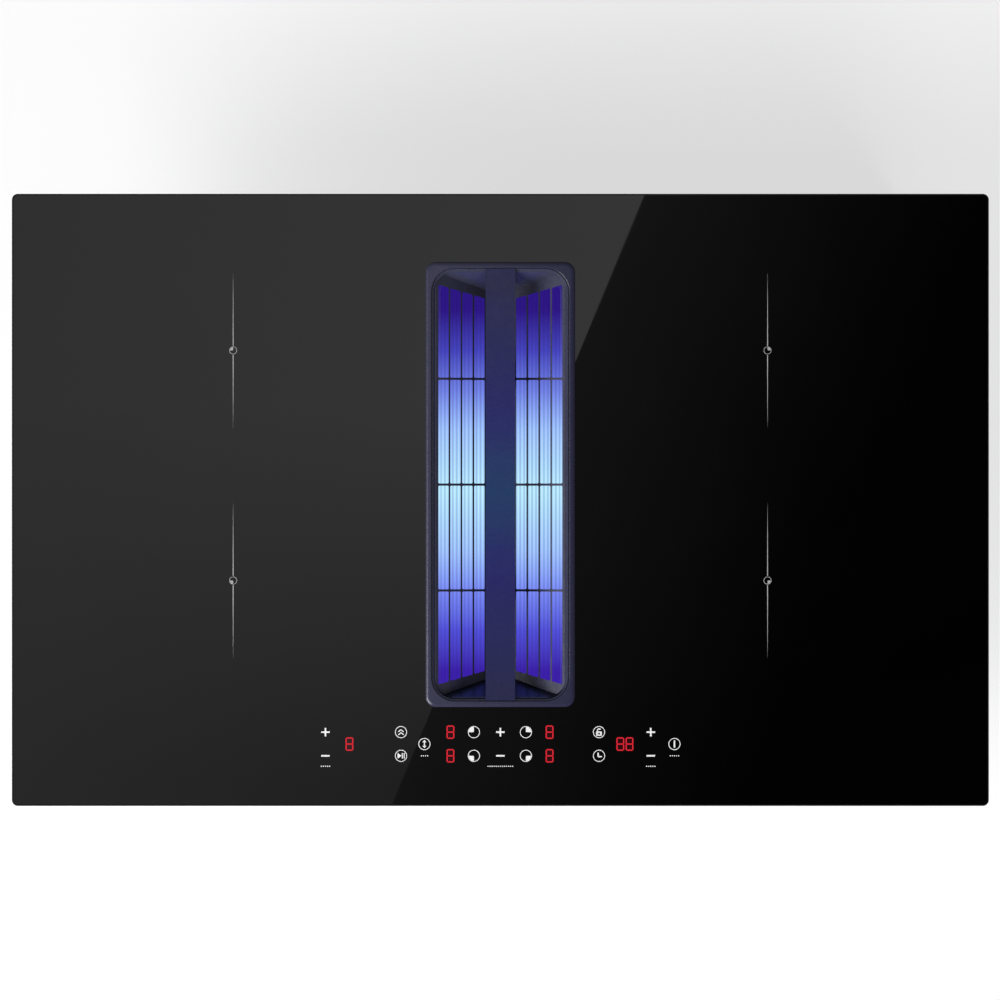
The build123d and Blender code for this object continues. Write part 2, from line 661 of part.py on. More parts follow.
def grille_pads():
    """Thin pads that the grille stands on, between its flange and the glass."""
    width = (GRILLE_WIDTH - VENT_WIDTH) / 2
    pads = []
    for x in (-1, 1):
        for y in (-1, 0, 1):
            across = x * (GRILLE_WIDTH - width) / 2
            along = VENT_OFFSET + y * GRILLE_PAD_PITCH
            pad_width = width - 2 * GRILLE_PAD_INSET
            pads.append(block(pad_width, POST_LENGTH, GRILLE_PAD, across, along, GLASS_TOP))
    return group(pads)


# ---- shaft, filter and lower duct ----


def shaft_flange_plan():
    width = SHAFT_WIDTH + 2 * SHAFT_FLANGE
    length = SHAFT_LENGTH + 2 * SHAFT_FLANGE
    return vent(width, length, SHAFT_CORNER + SHAFT_WALL + SHAFT_FLANGE)


def shaft_gasket():
    inner = vent(SHAFT_IN_WIDTH, SHAFT_IN_LENGTH, SHAFT_CORNER)
    return ring(shaft_flange_plan(), inner, SHAFT_GASKET, 0, VENT_OFFSET, SHAFT_TOP)


def intake_shaft():
    outer = vent(SHAFT_WIDTH, SHAFT_LENGTH, SHAFT_CORNER + SHAFT_WALL)
    inner = vent(SHAFT_IN_WIDTH, SHAFT_IN_LENGTH, SHAFT_CORNER)
    ledge_width = SHAFT_IN_WIDTH - 2 * FILTER_LEDGE
    ledge_length = SHAFT_IN_LENGTH - 2 * FILTER_LEDGE
    ledge = vent(ledge_width, ledge_length, SHAFT_CORNER - FILTER_LEDGE)
    flange = ring(shaft_flange_plan(), inner, SHAFT_FLANGE_THICKNESS, z=SHAFT_TOP - SHAFT_FLANGE_THICKNESS)
    wall = ring(outer, inner, SHAFT_TOP - SHAFT_BOTTOM, z=SHAFT_BOTTOM)
    seat = ring(outer, ledge, FILTER_LEDGE_THICKNESS, z=FILTER_BOTTOM - FILTER_LEDGE_THICKNESS)
    return Pos(0, VENT_OFFSET, 0) * (flange + wall + seat)


def filter_frame():
    width = SHAFT_IN_WIDTH - 2 * FILTER_PLAY
    length = SHAFT_IN_LENGTH - 2 * FILTER_PLAY
    corner = SHAFT_CORNER - FILTER_PLAY
    outer = vent(width, length, corner)
    wall_in = vent(width - 2 * FILTER_SHEET, length - 2 * FILTER_SHEET, corner - FILTER_SHEET)
    window = vent(width - 2 * FILTER_FLANGE, length - 2 * FILTER_FLANGE, corner - FILTER_FLANGE)
    wall = ring(outer, wall_in, FILTER_HEIGHT, z=FILTER_BOTTOM)
    low = ring(outer, window, FILTER_SHEET, z=FILTER_BOTTOM)
    high = ring(outer, window, FILTER_SHEET, z=FILTER_TOP - FILTER_SHEET)
    return Pos(0, VENT_OFFSET, 0) * (wall + low + high)


def filter_media():
    """Pleated metal mesh that fills the filter's frame."""
    width = SHAFT_IN_WIDTH - 2 * FILTER_PLAY - 2 * FILTER_SHEET
    length = SHAFT_IN_LENGTH - 2 * FILTER_PLAY - 2 * FILTER_SHEET
    corner = SHAFT_CORNER - FILTER_PLAY - FILTER_SHEET
    low = FILTER_BOTTOM + FILTER_SHEET
    high = FILTER_TOP - FILTER_SHEET
    pleats = int(width / PLEAT_PITCH)
    start = -pleats * PLEAT_PITCH / 2
    upper = []
    lower = []
    for n in range(2 * pleats + 1):
        x = start + n * PLEAT_PITCH / 2
        crest = n % 2 == 1
        upper.append((x, high if crest else low + PLEAT_SHEET))
        lower.append((x, high - PLEAT_SHEET if crest else low))
    outline = make_face(Polyline(*upper, *reversed(lower), close=True))
    media = extrude(Plane.XZ * outline, length / 2, both=True)
    bounds = slab(width, length, high - low, corner, z=low)
    return Pos(0, VENT_OFFSET, 0) * (media & bounds)


def duct_trim():
    """Flange under the casing and stiffening beads, left off where the blower joins."""
    corner = DUCT_BOX_CORNER + DUCT_WALL
    flange_width = DUCT_WIDTH + 2 * DUCT_FLANGE
    flange_length = DUCT_LENGTH + 2 * DUCT_FLANGE
    flange_z = CASING_BOTTOM - DUCT_FLANGE_THICKNESS
    trim = slab(flange_width, flange_length, DUCT_FLANGE_THICKNESS, corner + DUCT_FLANGE, z=flange_z)
    bead_width = DUCT_WIDTH + 2 * DUCT_BEAD
    bead_length = DUCT_LENGTH + 2 * DUCT_BEAD
    for n in range(DUCT_BEADS):
        z = BASE + DUCT_BEAD_START + n * DUCT_BEAD_PITCH
        trim = trim + slab(bead_width, bead_length, DUCT_BEAD_WIDTH, corner + DUCT_BEAD, z=z)
    keep_off = CHAMBER_WIDTH + 2 * CHAMBER_FLANGE + 2 * DUCT_WALL
    beside = DUCT_WIDTH / 2 + DUCT_FLANGE
    y = BLOWER_Y - VENT_OFFSET
    return trim - block(2 * DUCT_FLANGE, keep_off, CASING_BOTTOM - BASE, beside, y, BASE)


def lower_duct():
    height = CASING_BOTTOM - BASE
    duct = slab(DUCT_WIDTH, DUCT_LENGTH, height, DUCT_BOX_CORNER + DUCT_WALL, z=BASE)
    duct = duct + duct_trim()
    inside_height = height - 2 * DUCT_WALL
    duct = duct - slab(DUCT_IN_WIDTH, DUCT_IN_LENGTH, inside_height, DUCT_BOX_CORNER, z=BASE + DUCT_WALL)
    socket_bottom = CASING_BOTTOM - 2 * DUCT_WALL
    duct = duct - slab(SOCKET_WIDTH, SOCKET_LENGTH, 4 * DUCT_WALL, SOCKET_CORNER, z=socket_bottom)
    duct = Pos(0, VENT_OFFSET, 0) * duct
    window_height = CASING_BOTTOM - SCROLL_TOP - DUCT_WALL
    window_width = CHAMBER_WIDTH - 2 * DUCT_WALL
    window = block(4 * DUCT_WALL, window_width, window_height, DUCT_WIDTH / 2, BLOWER_Y, SCROLL_TOP)
    mouth_width = drawer_plan()[0] + 2 * DRAWER_PLAY
    mouth_height = DRAWER_HEIGHT + 2 * DRAWER_PLAY
    mouth = block(mouth_width, 2 * DUCT_BOX_CORNER, mouth_height, 0, DUCT_FRONT, BASE + DUCT_WALL)
    return duct - window - mouth


def drawer_plan():
    """Width and length of the overflow tray's pan."""
    width = DUCT_IN_WIDTH - 2 * DUCT_BOX_CORNER - 2 * DRAWER_PLAY
    length = DUCT_IN_LENGTH - 2 * DRAWER_PLAY + DUCT_WALL
    return width, length


def overflow_tray():
    width, length = drawer_plan()
    y = DUCT_FRONT + length / 2
    pan = block(width, length, DRAWER_HEIGHT, 0, y, DRAWER_FLOOR)
    hollow_width = width - 2 * DRAWER_WALL
    hollow_length = length - 2 * DRAWER_WALL
    hollow = block(hollow_width, hollow_length, DRAWER_HEIGHT, 0, y, DRAWER_FLOOR + DRAWER_WALL)
    face_width = width + 2 * DRAWER_FACE_LAP
    face_height = DRAWER_HEIGHT + DRAWER_PLAY + DRAWER_FACE_LAP
    face = block(face_width, DRAWER_FACE, face_height, 0, DUCT_FRONT - DRAWER_FACE / 2, DRAWER_FLOOR)
    grip = slab(
        DRAWER_GRIP_LENGTH,
        2 * DRAWER_GRIP_DEPTH,
        DRAWER_GRIP_THICKNESS,
        DRAWER_GRIP_DEPTH / 2,
        0,
        DUCT_FRONT - DRAWER_FACE,
        DRAWER_FLOOR + face_height / 2,
    )
    behind = DUCT_FRONT + DRAWER_GRIP_DEPTH - DRAWER_FACE / 2
    grip = grip - block(
        2 * DRAWER_GRIP_LENGTH, 2 * DRAWER_GRIP_DEPTH, face_height, 0, behind, DRAWER_FLOOR + face_height / 4
    )
    return pan - hollow + face + grip


# ---- blower, in a frame centred on the impeller ----


def blower(shape):
    return Pos(BLOWER_X, BLOWER_Y, 0) * shape


def scroll_centres():
    """Centres and radii of the scroll's arcs, the last the widest."""
    half = SCROLL_STEP / 2
    first = IMPELLER_DIAMETER / 2 + SCROLL_TONGUE_GAP - half
    centres = [(-half, half), (-half, -half), (half, -half), (half, half)]
    return [(centre, first + n * SCROLL_STEP) for n, centre in enumerate(centres)]


def scroll_region(grow=0.0, reach=0.0):
    """Plan of the air path inside the scroll and its throat, grown by a wall."""
    arcs = scroll_centres()
    spans = [(SCROLL_TONGUE_ANGLE, 90.0), (90.0, 180.0), (180.0, 270.0), (270.0, 360.0)]
    edges = []
    for (centre, radius), (start, end) in zip(arcs, spans):
        arc = CenterArc(centre, radius + grow, start, end - start)
        edges.append(arc)
    last = edges[-1] @ 1
    edges.append(Line(last, edges[0] @ 0))
    spiral = make_face(edges)
    centre, radius = arcs[0]
    left = centre[0] + radius * math.cos(math.radians(SCROLL_TONGUE_ANGLE)) - grow
    right = arcs[3][0][0] + arcs[3][1] + grow
    depth = THROAT_REACH + reach
    base = arcs[3][0][1]
    throat = Pos((left + right) / 2, (base + depth) / 2) * Rectangle(right - left, depth - base)
    return spiral + throat


def throat_sides():
    """Left and right walls of the throat, as x from the impeller's axis."""
    centre, radius = scroll_centres()[0]
    left = centre[0] + radius * math.cos(math.radians(SCROLL_TONGUE_ANGLE))
    last_centre, last_radius = scroll_centres()[3]
    return left, last_centre[0] + last_radius


def scroll_front():
    """Distance from the impeller's axis to the outside of the scroll's front wall."""
    centre, radius = scroll_centres()[2]
    return radius - centre[1] + SCROLL_WALL


def scroll_bosses():
    """Centres of the screw bosses on the scroll's outside."""
    stand_off = SCROLL_WALL + SCROLL_BOSS / 3
    places = []
    for angle in SCROLL_BOSS_ANGLES:
        centre, radius = scroll_centres()[int(angle // 90)]
        turn = math.radians(angle)
        reach = radius + stand_off
        places.append((centre[0] + reach * math.cos(turn), centre[1] + reach * math.sin(turn)))
    for y in SCROLL_BOSS_RUNS:
        places.append((throat_sides()[1] + stand_off, y))
    return places


def blower_scroll():
    height = SCROLL_HEIGHT - SCROLL_WALL
    outer = Pos(0, 0, BASE) * extrude(scroll_region(SCROLL_WALL), height)
    inner = Pos(0, 0, BASE + SCROLL_WALL) * extrude(scroll_region(0.0, SCROLL_HEIGHT), height)
    bead = Pos(0, 0, BASE + SCROLL_BEAD_RISE) * extrude(
        scroll_region(SCROLL_WALL + SCROLL_BEAD), SCROLL_BEAD_WIDTH
    )
    scroll = outer + bead
    for x, y in scroll_bosses():
        top = SCROLL_TOP - SCROLL_WALL
        scroll = scroll + rod(SCROLL_BOSS, SCROLL_BOSS_HEIGHT, x, y, top - SCROLL_BOSS_HEIGHT)
    scroll = scroll - inner
    lead_hole = Pos(0, -THROAT_REACH, lead_height()) * Rot(90, 0, 0)
    scroll = scroll - lead_hole * Cylinder(LEAD_DIAMETER / 2 + SCREW_PLAY, THROAT_REACH)
    return blower(scroll)


def chamber_plan(grow=0.0):
    """Plan of the suction chamber over the impeller, from the lower duct's wall."""
    start = DUCT_WIDTH / 2 - BLOWER_X
    length = CHAMBER_LENGTH + 2 * CHAMBER_CORNER
    full = RectangleRounded(length + 2 * grow, CHAMBER_WIDTH + 2 * grow, CHAMBER_CORNER + grow)
    full = Pos(start + CHAMBER_LENGTH - length / 2, 0) * full
    keep = Pos(start + length / 2, 0) * Rectangle(length, 2 * CHAMBER_WIDTH)
    return full & keep


def inlet_plate():
    plate = extrude(scroll_region(SCROLL_WALL) + chamber_plan(CHAMBER_FLANGE), SCROLL_WALL)
    plate = Pos(0, 0, SCROLL_TOP - SCROLL_WALL) * plate
    for x, y in scroll_bosses():
        plate = plate + rod(SCROLL_BOSS, SCROLL_WALL, x, y, SCROLL_TOP - SCROLL_WALL)
    radius = EYE_DIAMETER / 2
    plate = plate - rod(EYE_DIAMETER + 2 * EYE_LIP, 4 * SCROLL_WALL, z=SCROLL_TOP - 2 * SCROLL_WALL)
    top = SCROLL_TOP
    outer = radius + EYE_LIP
    lip = Polyline((outer, top), (outer, top - SCROLL_WALL))
    inside = RadiusArc((outer, top), (radius, top - EYE_LIP), EYE_LIP)
    outside = RadiusArc(
        (outer, top - SCROLL_WALL), (radius + SCROLL_WALL, top - EYE_LIP), EYE_LIP - SCROLL_WALL
    )
    end = Line((radius, top - EYE_LIP), (radius + SCROLL_WALL, top - EYE_LIP))
    profile = make_face([lip.edges()[0], inside, outside, end])
    mouth = revolve(Plane.XZ * profile, Axis.Z)
    return blower(plate + mouth)


def suction_chamber():
    height = CASING_BOTTOM - SCROLL_TOP
    outer = Pos(0, 0, SCROLL_TOP) * extrude(chamber_plan(), height)
    inner = Pos(0, 0, SCROLL_TOP - DUCT_WALL) * extrude(chamber_plan(-DUCT_WALL), height)
    flange = Pos(0, 0, SCROLL_TOP) * extrude(chamber_plan(CHAMBER_FLANGE), CHAMBER_FLANGE_THICKNESS)
    return blower(outer + flange - inner)


def motor():
    flange = rod(MOTOR_FLANGE_DIAMETER, MOTOR_FLANGE, z=MOTOR_BOTTOM)
    body = rod(MOTOR_DIAMETER, MOTOR_HEIGHT, z=MOTOR_BOTTOM + MOTOR_FLANGE)
    body = chamfer(body.edges().group_by(Axis.Z)[-1], 2 * MOTOR_GAP)
    case = flange + body
    bore_depth = MOTOR_HEIGHT - MOTOR_FLANGE
    bore = rod(MOTOR_SHAFT_DIAMETER + 2 * MOTOR_BEARING_PLAY, 2 * bore_depth, z=MOTOR_TOP - bore_depth)
    return blower(case - bore)


def motor_shaft():
    depth = MOTOR_HEIGHT - 2 * MOTOR_FLANGE
    return blower(rod(MOTOR_SHAFT_DIAMETER, depth + MOTOR_SHAFT_RISE, z=MOTOR_TOP - depth))


def blade_outline():
    """One forward-curved blade in plan, from the inner to the outer circle."""
    inner = IMPELLER_INNER / 2
    outer = IMPELLER_DIAMETER / 2 - BLADE_THICKNESS / 2
    root = (inner, 0)
    tip = (outer * math.cos(math.radians(BLADE_LEAD)), outer * math.sin(math.radians(BLADE_LEAD)))
    middle = ((root[0] + tip[0]) / 2, (root[1] + tip[1]) / 2 - BLADE_BOW)
    front = ThreePointArc(root, middle, tip)
    back_root = (root[0], root[1] - BLADE_THICKNESS)
    back_tip = (tip[0] + BLADE_THICKNESS / 2, tip[1] - BLADE_THICKNESS)
    back_middle = (middle[0] + BLADE_THICKNESS / 2, middle[1] - BLADE_THICKNESS)
    back = ThreePointArc(back_root, back_middle, back_tip)
    return make_face([front, Line(tip, back_tip), back, Line(back_root, root)])


def impeller():
    outer = IMPELLER_DIAMETER / 2
    cup = MOTOR_DIAMETER / 2 + MOTOR_GAP
    cup_top = MOTOR_TOP + MOTOR_GAP + IMPELLER_BACK
    back = rod(2 * outer, IMPELLER_BACK, z=IMPELLER_BOTTOM)
    dome = rod(2 * (cup + IMPELLER_BACK), cup_top - IMPELLER_BOTTOM, z=IMPELLER_BOTTOM)
    hub = rod(3 * MOTOR_SHAFT_DIAMETER, MOTOR_SHAFT_RISE - MOTOR_GAP, z=MOTOR_TOP + MOTOR_GAP)
    wheel = back + dome + hub
    wheel = wheel - rod(2 * cup, cup_top - IMPELLER_BACK - IMPELLER_BOTTOM, z=IMPELLER_BOTTOM)
    wheel = wheel - rod(MOTOR_SHAFT_DIAMETER, 4 * MOTOR_SHAFT_RISE, z=MOTOR_TOP - MOTOR_SHAFT_RISE)
    blade = Pos(0, 0, IMPELLER_BOTTOM) * extrude(blade_outline(), IMPELLER_HEIGHT)
    blades = []
    for n in range(IMPELLER_BLADES):
        blades.append(Rot(0, 0, n * 360 / IMPELLER_BLADES) * blade)
    band_hole = rod(IMPELLER_INNER + BLADE_THICKNESS, 4 * IMPELLER_BAND, z=IMPELLER_TOP - 2 * IMPELLER_BAND)
    band = rod(2 * outer, IMPELLER_BAND, z=IMPELLER_TOP - IMPELLER_BAND) - band_hole
    wheel = wheel + blades + band
    return blower(wheel)


def lead_height():
    return MOTOR_BOTTOM + MOTOR_FLANGE + LEAD_DIAMETER


def motor_lead():
    """Flexible lead from the motor, out of the scroll and up to the casing."""
    start = -MOTOR_DIAMETER / 2
    out = -(scroll_front() + LEAD_OUT)
    height = lead_height()
    path = FilletPolyline(
        (0, start, height), (0, out, height), (0, out, CASING_BOTTOM), radius=LEAD_BEND
    )
    section = Plane((0, start, height), z_dir=(0, -1, 0)) * Circle(LEAD_DIAMETER / 2)
    return blower(sweep(section, path))


def outlet_spigot():
    left, right = throat_sides()
    start = BLOWER_Y + THROAT_REACH
    straight = OUTLET_END - OUTLET_STRAIGHT
    throat_x = BLOWER_X + (left + right) / 2
    throat_z = (BASE + SCROLL_TOP - SCROLL_WALL) / 2
    outlet_z = BASE + SCROLL_WALL + (SCROLL_HEIGHT - 2 * SCROLL_WALL) / 2

    def bell(grow):
        """Flared run from the scroll's throat to the outlet, grown by a wall."""
        tall = SCROLL_HEIGHT - 3 * SCROLL_WALL + 2 * grow
        first = Plane((throat_x, start, throat_z), x_dir=(1, 0, 0), z_dir=(0, 1, 0))
        last = Plane((OUTLET_X, straight, outlet_z), x_dir=(1, 0, 0), z_dir=(0, 1, 0))
        wide = OUTLET_LENGTH - 2 * OUTLET_WALL + 2 * grow
        high = OUTLET_HEIGHT - 2 * OUTLET_WALL + 2 * grow
        corner = OUTLET_CORNER - OUTLET_WALL + grow
        near = first * RectangleRounded(right - left + 2 * grow, tall, corner)
        far = last * RectangleRounded(wide, high, corner)
        flare = loft([near, far], ruled=True)
        return flare + extrude(far, OUTLET_STRAIGHT)

    section = RectangleRounded(
        OUTLET_LENGTH + 2 * OUTLET_STOP, OUTLET_HEIGHT + 2 * OUTLET_STOP, OUTLET_CORNER + OUTLET_STOP
    )
    facing = Plane((OUTLET_X, straight, outlet_z), x_dir=(1, 0, 0), z_dir=(0, 1, 0))
    stop = extrude(facing * section, -OUTLET_STOP_WIDTH)
    return bell(OUTLET_WALL) + stop - bell(0.0)


# ---- induction coils ----


def coil_places():
    """Name suffix, x and y of each coil."""
    places = []
    for row, y in ROWS.items():
        for name, side in SIDES.items():
            places.append((f"{row}_{name}", side * COIL_X, y))
    return places


def mica_sheet(x, y):
    length = COIL_LENGTH + 2 * MICA_MARGIN
    width = COIL_WIDTH + 2 * MICA_MARGIN
    sheet = slab(length, width, MICA_THICKNESS, COIL_CORNER + MICA_MARGIN, x, y, COIL_TOP)
    return sheet - rod(SENSOR_DIAMETER + SENSOR_PLAY, 4 * MICA_THICKNESS, x, y, COIL_TOP - MICA_THICKNESS)


def coil(x, y):
    winding = slab(COIL_LENGTH, COIL_WIDTH, COIL_THICKNESS, COIL_CORNER, x, y, COIL_BOTTOM)
    return winding - rod(COIL_HOLE, 3 * COIL_THICKNESS, x, y, COIL_BOTTOM - COIL_THICKNESS)


def ferrite_bars(x, y):
    reach = COIL_HOLE / 2 + FERRITE_LENGTH / 2
    bars = []
    for n in range(FERRITES):
        bar = Pos(reach, 0, 0) * block(FERRITE_LENGTH, FERRITE_WIDTH, FERRITE_THICKNESS, z=CARRIER_TOP)
        bars.append(Pos(x, y, 0) * Rot(0, 0, (n + 0.5) * 360 / FERRITES) * bar)
    return group(bars)


def coil_carrier(x, y):
    length = COIL_LENGTH + 2 * CARRIER_MARGIN
    width = COIL_WIDTH + 2 * CARRIER_MARGIN
    plate = slab(length, width, CARRIER_THICKNESS, COIL_CORNER + CARRIER_MARGIN, x, y, CARRIER_BOTTOM)
    hole = rod(CARRIER_HOLE_DIAMETER, 3 * CARRIER_THICKNESS, z=CARRIER_BOTTOM - CARRIER_THICKNESS)
    for spot in PolarLocations(COIL_HOLE / 2 + FERRITE_LENGTH / 2, FERRITES):
        plate = plate - Pos(x, y, 0) * spot * hole
    return plate


def coil_sensors():
    sensors = []
    for _, x, y in coil_places():
        foot = rod(SENSOR_FOOT_DIAMETER, CARRIER_THICKNESS, x, y, CARRIER_TOP)
        button = rod(SENSOR_DIAMETER, GLASS_BOTTOM - CARRIER_TOP, x, y, CARRIER_TOP)
        sensors.append(foot + button)
    return group(sensors)


def leaf_springs():
    """Arched strips between the coil carriers and their decks."""
    half = LEAF_LENGTH / 2
    crown = ThreePointArc((-half, 0), (0, LEAF_HEIGHT), (half, 0))
    inset = half - 2 * LEAF_SHEET
    belly = ThreePointArc((-inset, 0), (0, LEAF_HEIGHT - LEAF_SHEET), (inset, 0))
    ends = [Line(crown @ 0, belly @ 0), Line(crown @ 1, belly @ 1)]
    arch = extrude(Plane.XZ * make_face([crown, belly, *ends]), LEAF_WIDTH / 2, both=True)
    springs = []
    for _, x, y in coil_places():
        for side in (-1, 1):
            springs.append(Pos(x, y + side * COIL_WIDTH / 4, DECK_TOP) * arch)
    return group(springs)


def coil_deck(side):
    """Folded sheet shelf that carries the two coils of one side."""
    length = DECK_OUTER_X - DECK_INNER_X
    width = DECK_BACK_Y - DECK_FRONT_Y
    x = side * (DECK_OUTER_X + DECK_INNER_X) / 2
    y = (DECK_BACK_Y + DECK_FRONT_Y) / 2
    deck = block(length, width, DECK_SHEET, x, y, DECK_BOTTOM)
    leg_height = DECK_TOP - CASING_FLOOR
    for edge in (-1, 1):
        leg_x = x + edge * (length - DECK_SHEET) / 2
        deck = deck + block(DECK_SHEET, width, leg_height, leg_x, y, CASING_FLOOR)
        foot_x = leg_x + edge * DECK_FOOT / 2
        deck = deck + block(DECK_FOOT, width, DECK_SHEET, foot_x, y, CASING_FLOOR)
    for row_y in ROWS.values():
        deck = deck - rod(COIL_HOLE, 4 * DECK_SHEET, side * COIL_X, row_y, DECK_BOTTOM - DECK_SHEET)
    window_height = leg_height - 4 * DECK_SHEET
    window_x = side * DECK_INNER_X
    window = block(3 * DECK_FOOT, FAN_SIZE, window_height, window_x, FAN_Y, CASING_FLOOR + 2 * DECK_SHEET)
    return deck - window


# ---- electronics ----


def power_board(side):
    return block(BOARD_LENGTH, BOARD_WIDTH, BOARD_THICKNESS, side * BOARD_X, BOARD_Y, BOARD_BOTTOM)


def heat_sink(side):
    x = side * BOARD_X
    y = BOARD_Y + BOARD_WIDTH / 2 - SINK_WIDTH
    sink = block(SINK_LENGTH, SINK_WIDTH, SINK_BASE, x, y, BOARD_TOP)
    pitch = (SINK_WIDTH - SINK_FIN) / (SINK_FINS - 1)
    for n in range(SINK_FINS):
        across = y + (n - (SINK_FINS - 1) / 2) * pitch
        sink = sink + block(SINK_LENGTH, SINK_FIN, SINK_HEIGHT, x, across, BOARD_TOP)
    return sink


def bus_capacitors():
    cans = []
    for side in (-1, 1):
        for n in (-1, 0, 1):
            x = side * BOARD_X + n * CAPACITOR_PITCH
            cans.append(rod(CAPACITOR_DIAMETER, CAPACITOR_HEIGHT, x, BOARD_Y, BOARD_TOP))
    return group(cans)


def line_chokes():
    chokes = []
    radius = (CHOKE_DIAMETER - CHOKE_WIRE) / 2
    for side in (-1, 1):
        for n in (-1, 1):
            x = side * BOARD_X + n * CAPACITOR_PITCH
            y = BOARD_Y - BOARD_WIDTH / 3
            chokes.append(Pos(x, y, BOARD_TOP + CHOKE_WIRE / 2) * choke_body(radius))
    return group(chokes)


def choke_body(radius):
    """Wound ring core, with a bevelled square section."""
    section = Pos(radius, 0) * Rectangle(CHOKE_WIRE, CHOKE_WIRE)
    section = chamfer(section.vertices(), CHOKE_BEVEL)
    return revolve(Plane.XZ * section, Axis.Z)


def terminal_block():
    length = TERMINAL_LENGTH
    block_y = GLAND_Y - GLAND_NUT - TERMINAL_WIDTH / 2
    body = block(length, TERMINAL_WIDTH, TERMINAL_HEIGHT, GLAND_X, block_y, CASING_FLOOR)
    pitch = length / TERMINAL_POLES
    for n in range(TERMINAL_POLES):
        x = GLAND_X + (n - (TERMINAL_POLES - 1) / 2) * pitch
        y = block_y + TERMINAL_WIDTH / 2
        z = CASING_FLOOR + TERMINAL_HEIGHT / 3
        body = body - block(TERMINAL_POCKET_LENGTH, TERMINAL_POCKET_WIDTH, TERMINAL_HEIGHT, x, y, z)
    return body


def cable_gland():
    outer = rod(GLAND_NUT, GLAND_OUTER_HEIGHT, z=CASING_BOTTOM - GLAND_OUTER_HEIGHT)
    outer = chamfer(outer.edges().group_by(Axis.Z)[0], GLAND_OUTER_HEIGHT / 4)
    neck = rod(GLAND_THREAD, SHEET, z=CASING_BOTTOM)
    nut = extrude(RegularPolygon(GLAND_NUT / 2, 6), GLAND_INNER_HEIGHT)
    gland = outer + neck + Pos(0, 0, CASING_FLOOR) * nut
    height = GLAND_OUTER_HEIGHT + SHEET + GLAND_INNER_HEIGHT
    bore = rod(GLAND_BORE, 3 * height, z=CASING_BOTTOM - GLAND_OUTER_HEIGHT - height)
    return Pos(GLAND_X, GLAND_Y, 0) * (gland - bore)


def cooling_fan_case(side):
    case = slab(FAN_SIZE, FAN_SIZE, FAN_DEPTH, FAN_CORNER, z=CASING_FLOOR)
    case = case - rod(FAN_BORE, 3 * FAN_DEPTH, z=CASING_FLOOR - FAN_DEPTH)
    for x in (-1, 1):
        for y in (-1, 1):
            spot = FAN_SCREW_PITCH / 2
            case = case - rod(FAN_SCREW_DIAMETER, 3 * FAN_DEPTH, x * spot, y * spot, CASING_FLOOR - FAN_DEPTH)
    top = CASING_FLOOR + FAN_DEPTH
    case = case + rod(FAN_HUB, FAN_BACK, z=top - FAN_BACK)
    reach = FAN_BORE / 2 + FAN_STRUT_LAP
    for n in range(FAN_STRUTS):
        strut = block(reach, 2 * FAN_BACK, FAN_BACK, reach / 2, 0, top - FAN_BACK)
        case = case + Rot(0, 0, n * 360 / FAN_STRUTS + FAN_STRUT_TURN) * strut
    case = case - rod(FAN_PIN_DIAMETER + 2 * FAN_PIN_PLAY, 4 * FAN_BACK, z=top - 2 * FAN_BACK)
    return Pos(side * FAN_X, FAN_Y, 0) * case


def cooling_rotor(side):
    gap = FAN_TIP_PLAY
    top = CASING_FLOOR + FAN_DEPTH - FAN_BACK - gap
    bottom = top - FAN_HUB_HEIGHT
    rotor = rod(FAN_HUB, FAN_HUB_HEIGHT, z=bottom)
    reach = FAN_BORE / 2 - FAN_TIP_PLAY
    blade_length = reach - FAN_HUB / 2 + 2 * FAN_BLADE_ROOT
    blade = Box(blade_length, FAN_BLADE_THICKNESS, FAN_BLADE_CHORD)
    blade = Pos(FAN_HUB / 2 - FAN_BLADE_ROOT + blade_length / 2, 0, 0) * Rot(FAN_BLADE_PITCH, 0, 0) * blade
    bounds = rod(2 * reach, FAN_HUB_HEIGHT, z=bottom)
    for n in range(FAN_BLADES):
        turned = Rot(0, 0, n * 360 / FAN_BLADES) * Pos(0, 0, (top + bottom) / 2) * blade
        rotor = rotor + (turned & bounds)
    rotor = rotor + rod(FAN_PIN_DIAMETER, gap + FAN_BACK, z=top)
    return Pos(side * FAN_X, FAN_Y, 0) * rotor


# ---- touch controls ----


def digit_places():
    """Centre and length of each lit digit display."""
    places = [
        (HOOD_DIGIT_COLUMN, ROW_MIDDLE_Y, DIGIT_LENGTH),
        (TIMER_DIGIT_COLUMN, ROW_MIDDLE_Y, 2 * DIGIT_LENGTH),
    ]
    for x in ZONE_DIGIT_COLUMNS:
        places.append((x, ROW_TOP_Y, DIGIT_LENGTH))
        places.append((x, ROW_TOP_Y - ROW_PITCH, DIGIT_LENGTH))
    return places


def pad_places():
    """Centres of the touch pads under the glass."""
    places = []
    for x in TWO_ROW_PAD_COLUMNS:
        places.append((x, ROW_TOP_Y))
        places.append((x, ROW_TOP_Y - ROW_PITCH))
    for x in ONE_ROW_PAD_COLUMNS:
        places.append((x, ROW_MIDDLE_Y))
    return places


def touch_board():
    return block(CONTROL_LENGTH, CONTROL_WIDTH, BOARD_THICKNESS, 0, CONTROL_Y, CONTROL_BOTTOM)


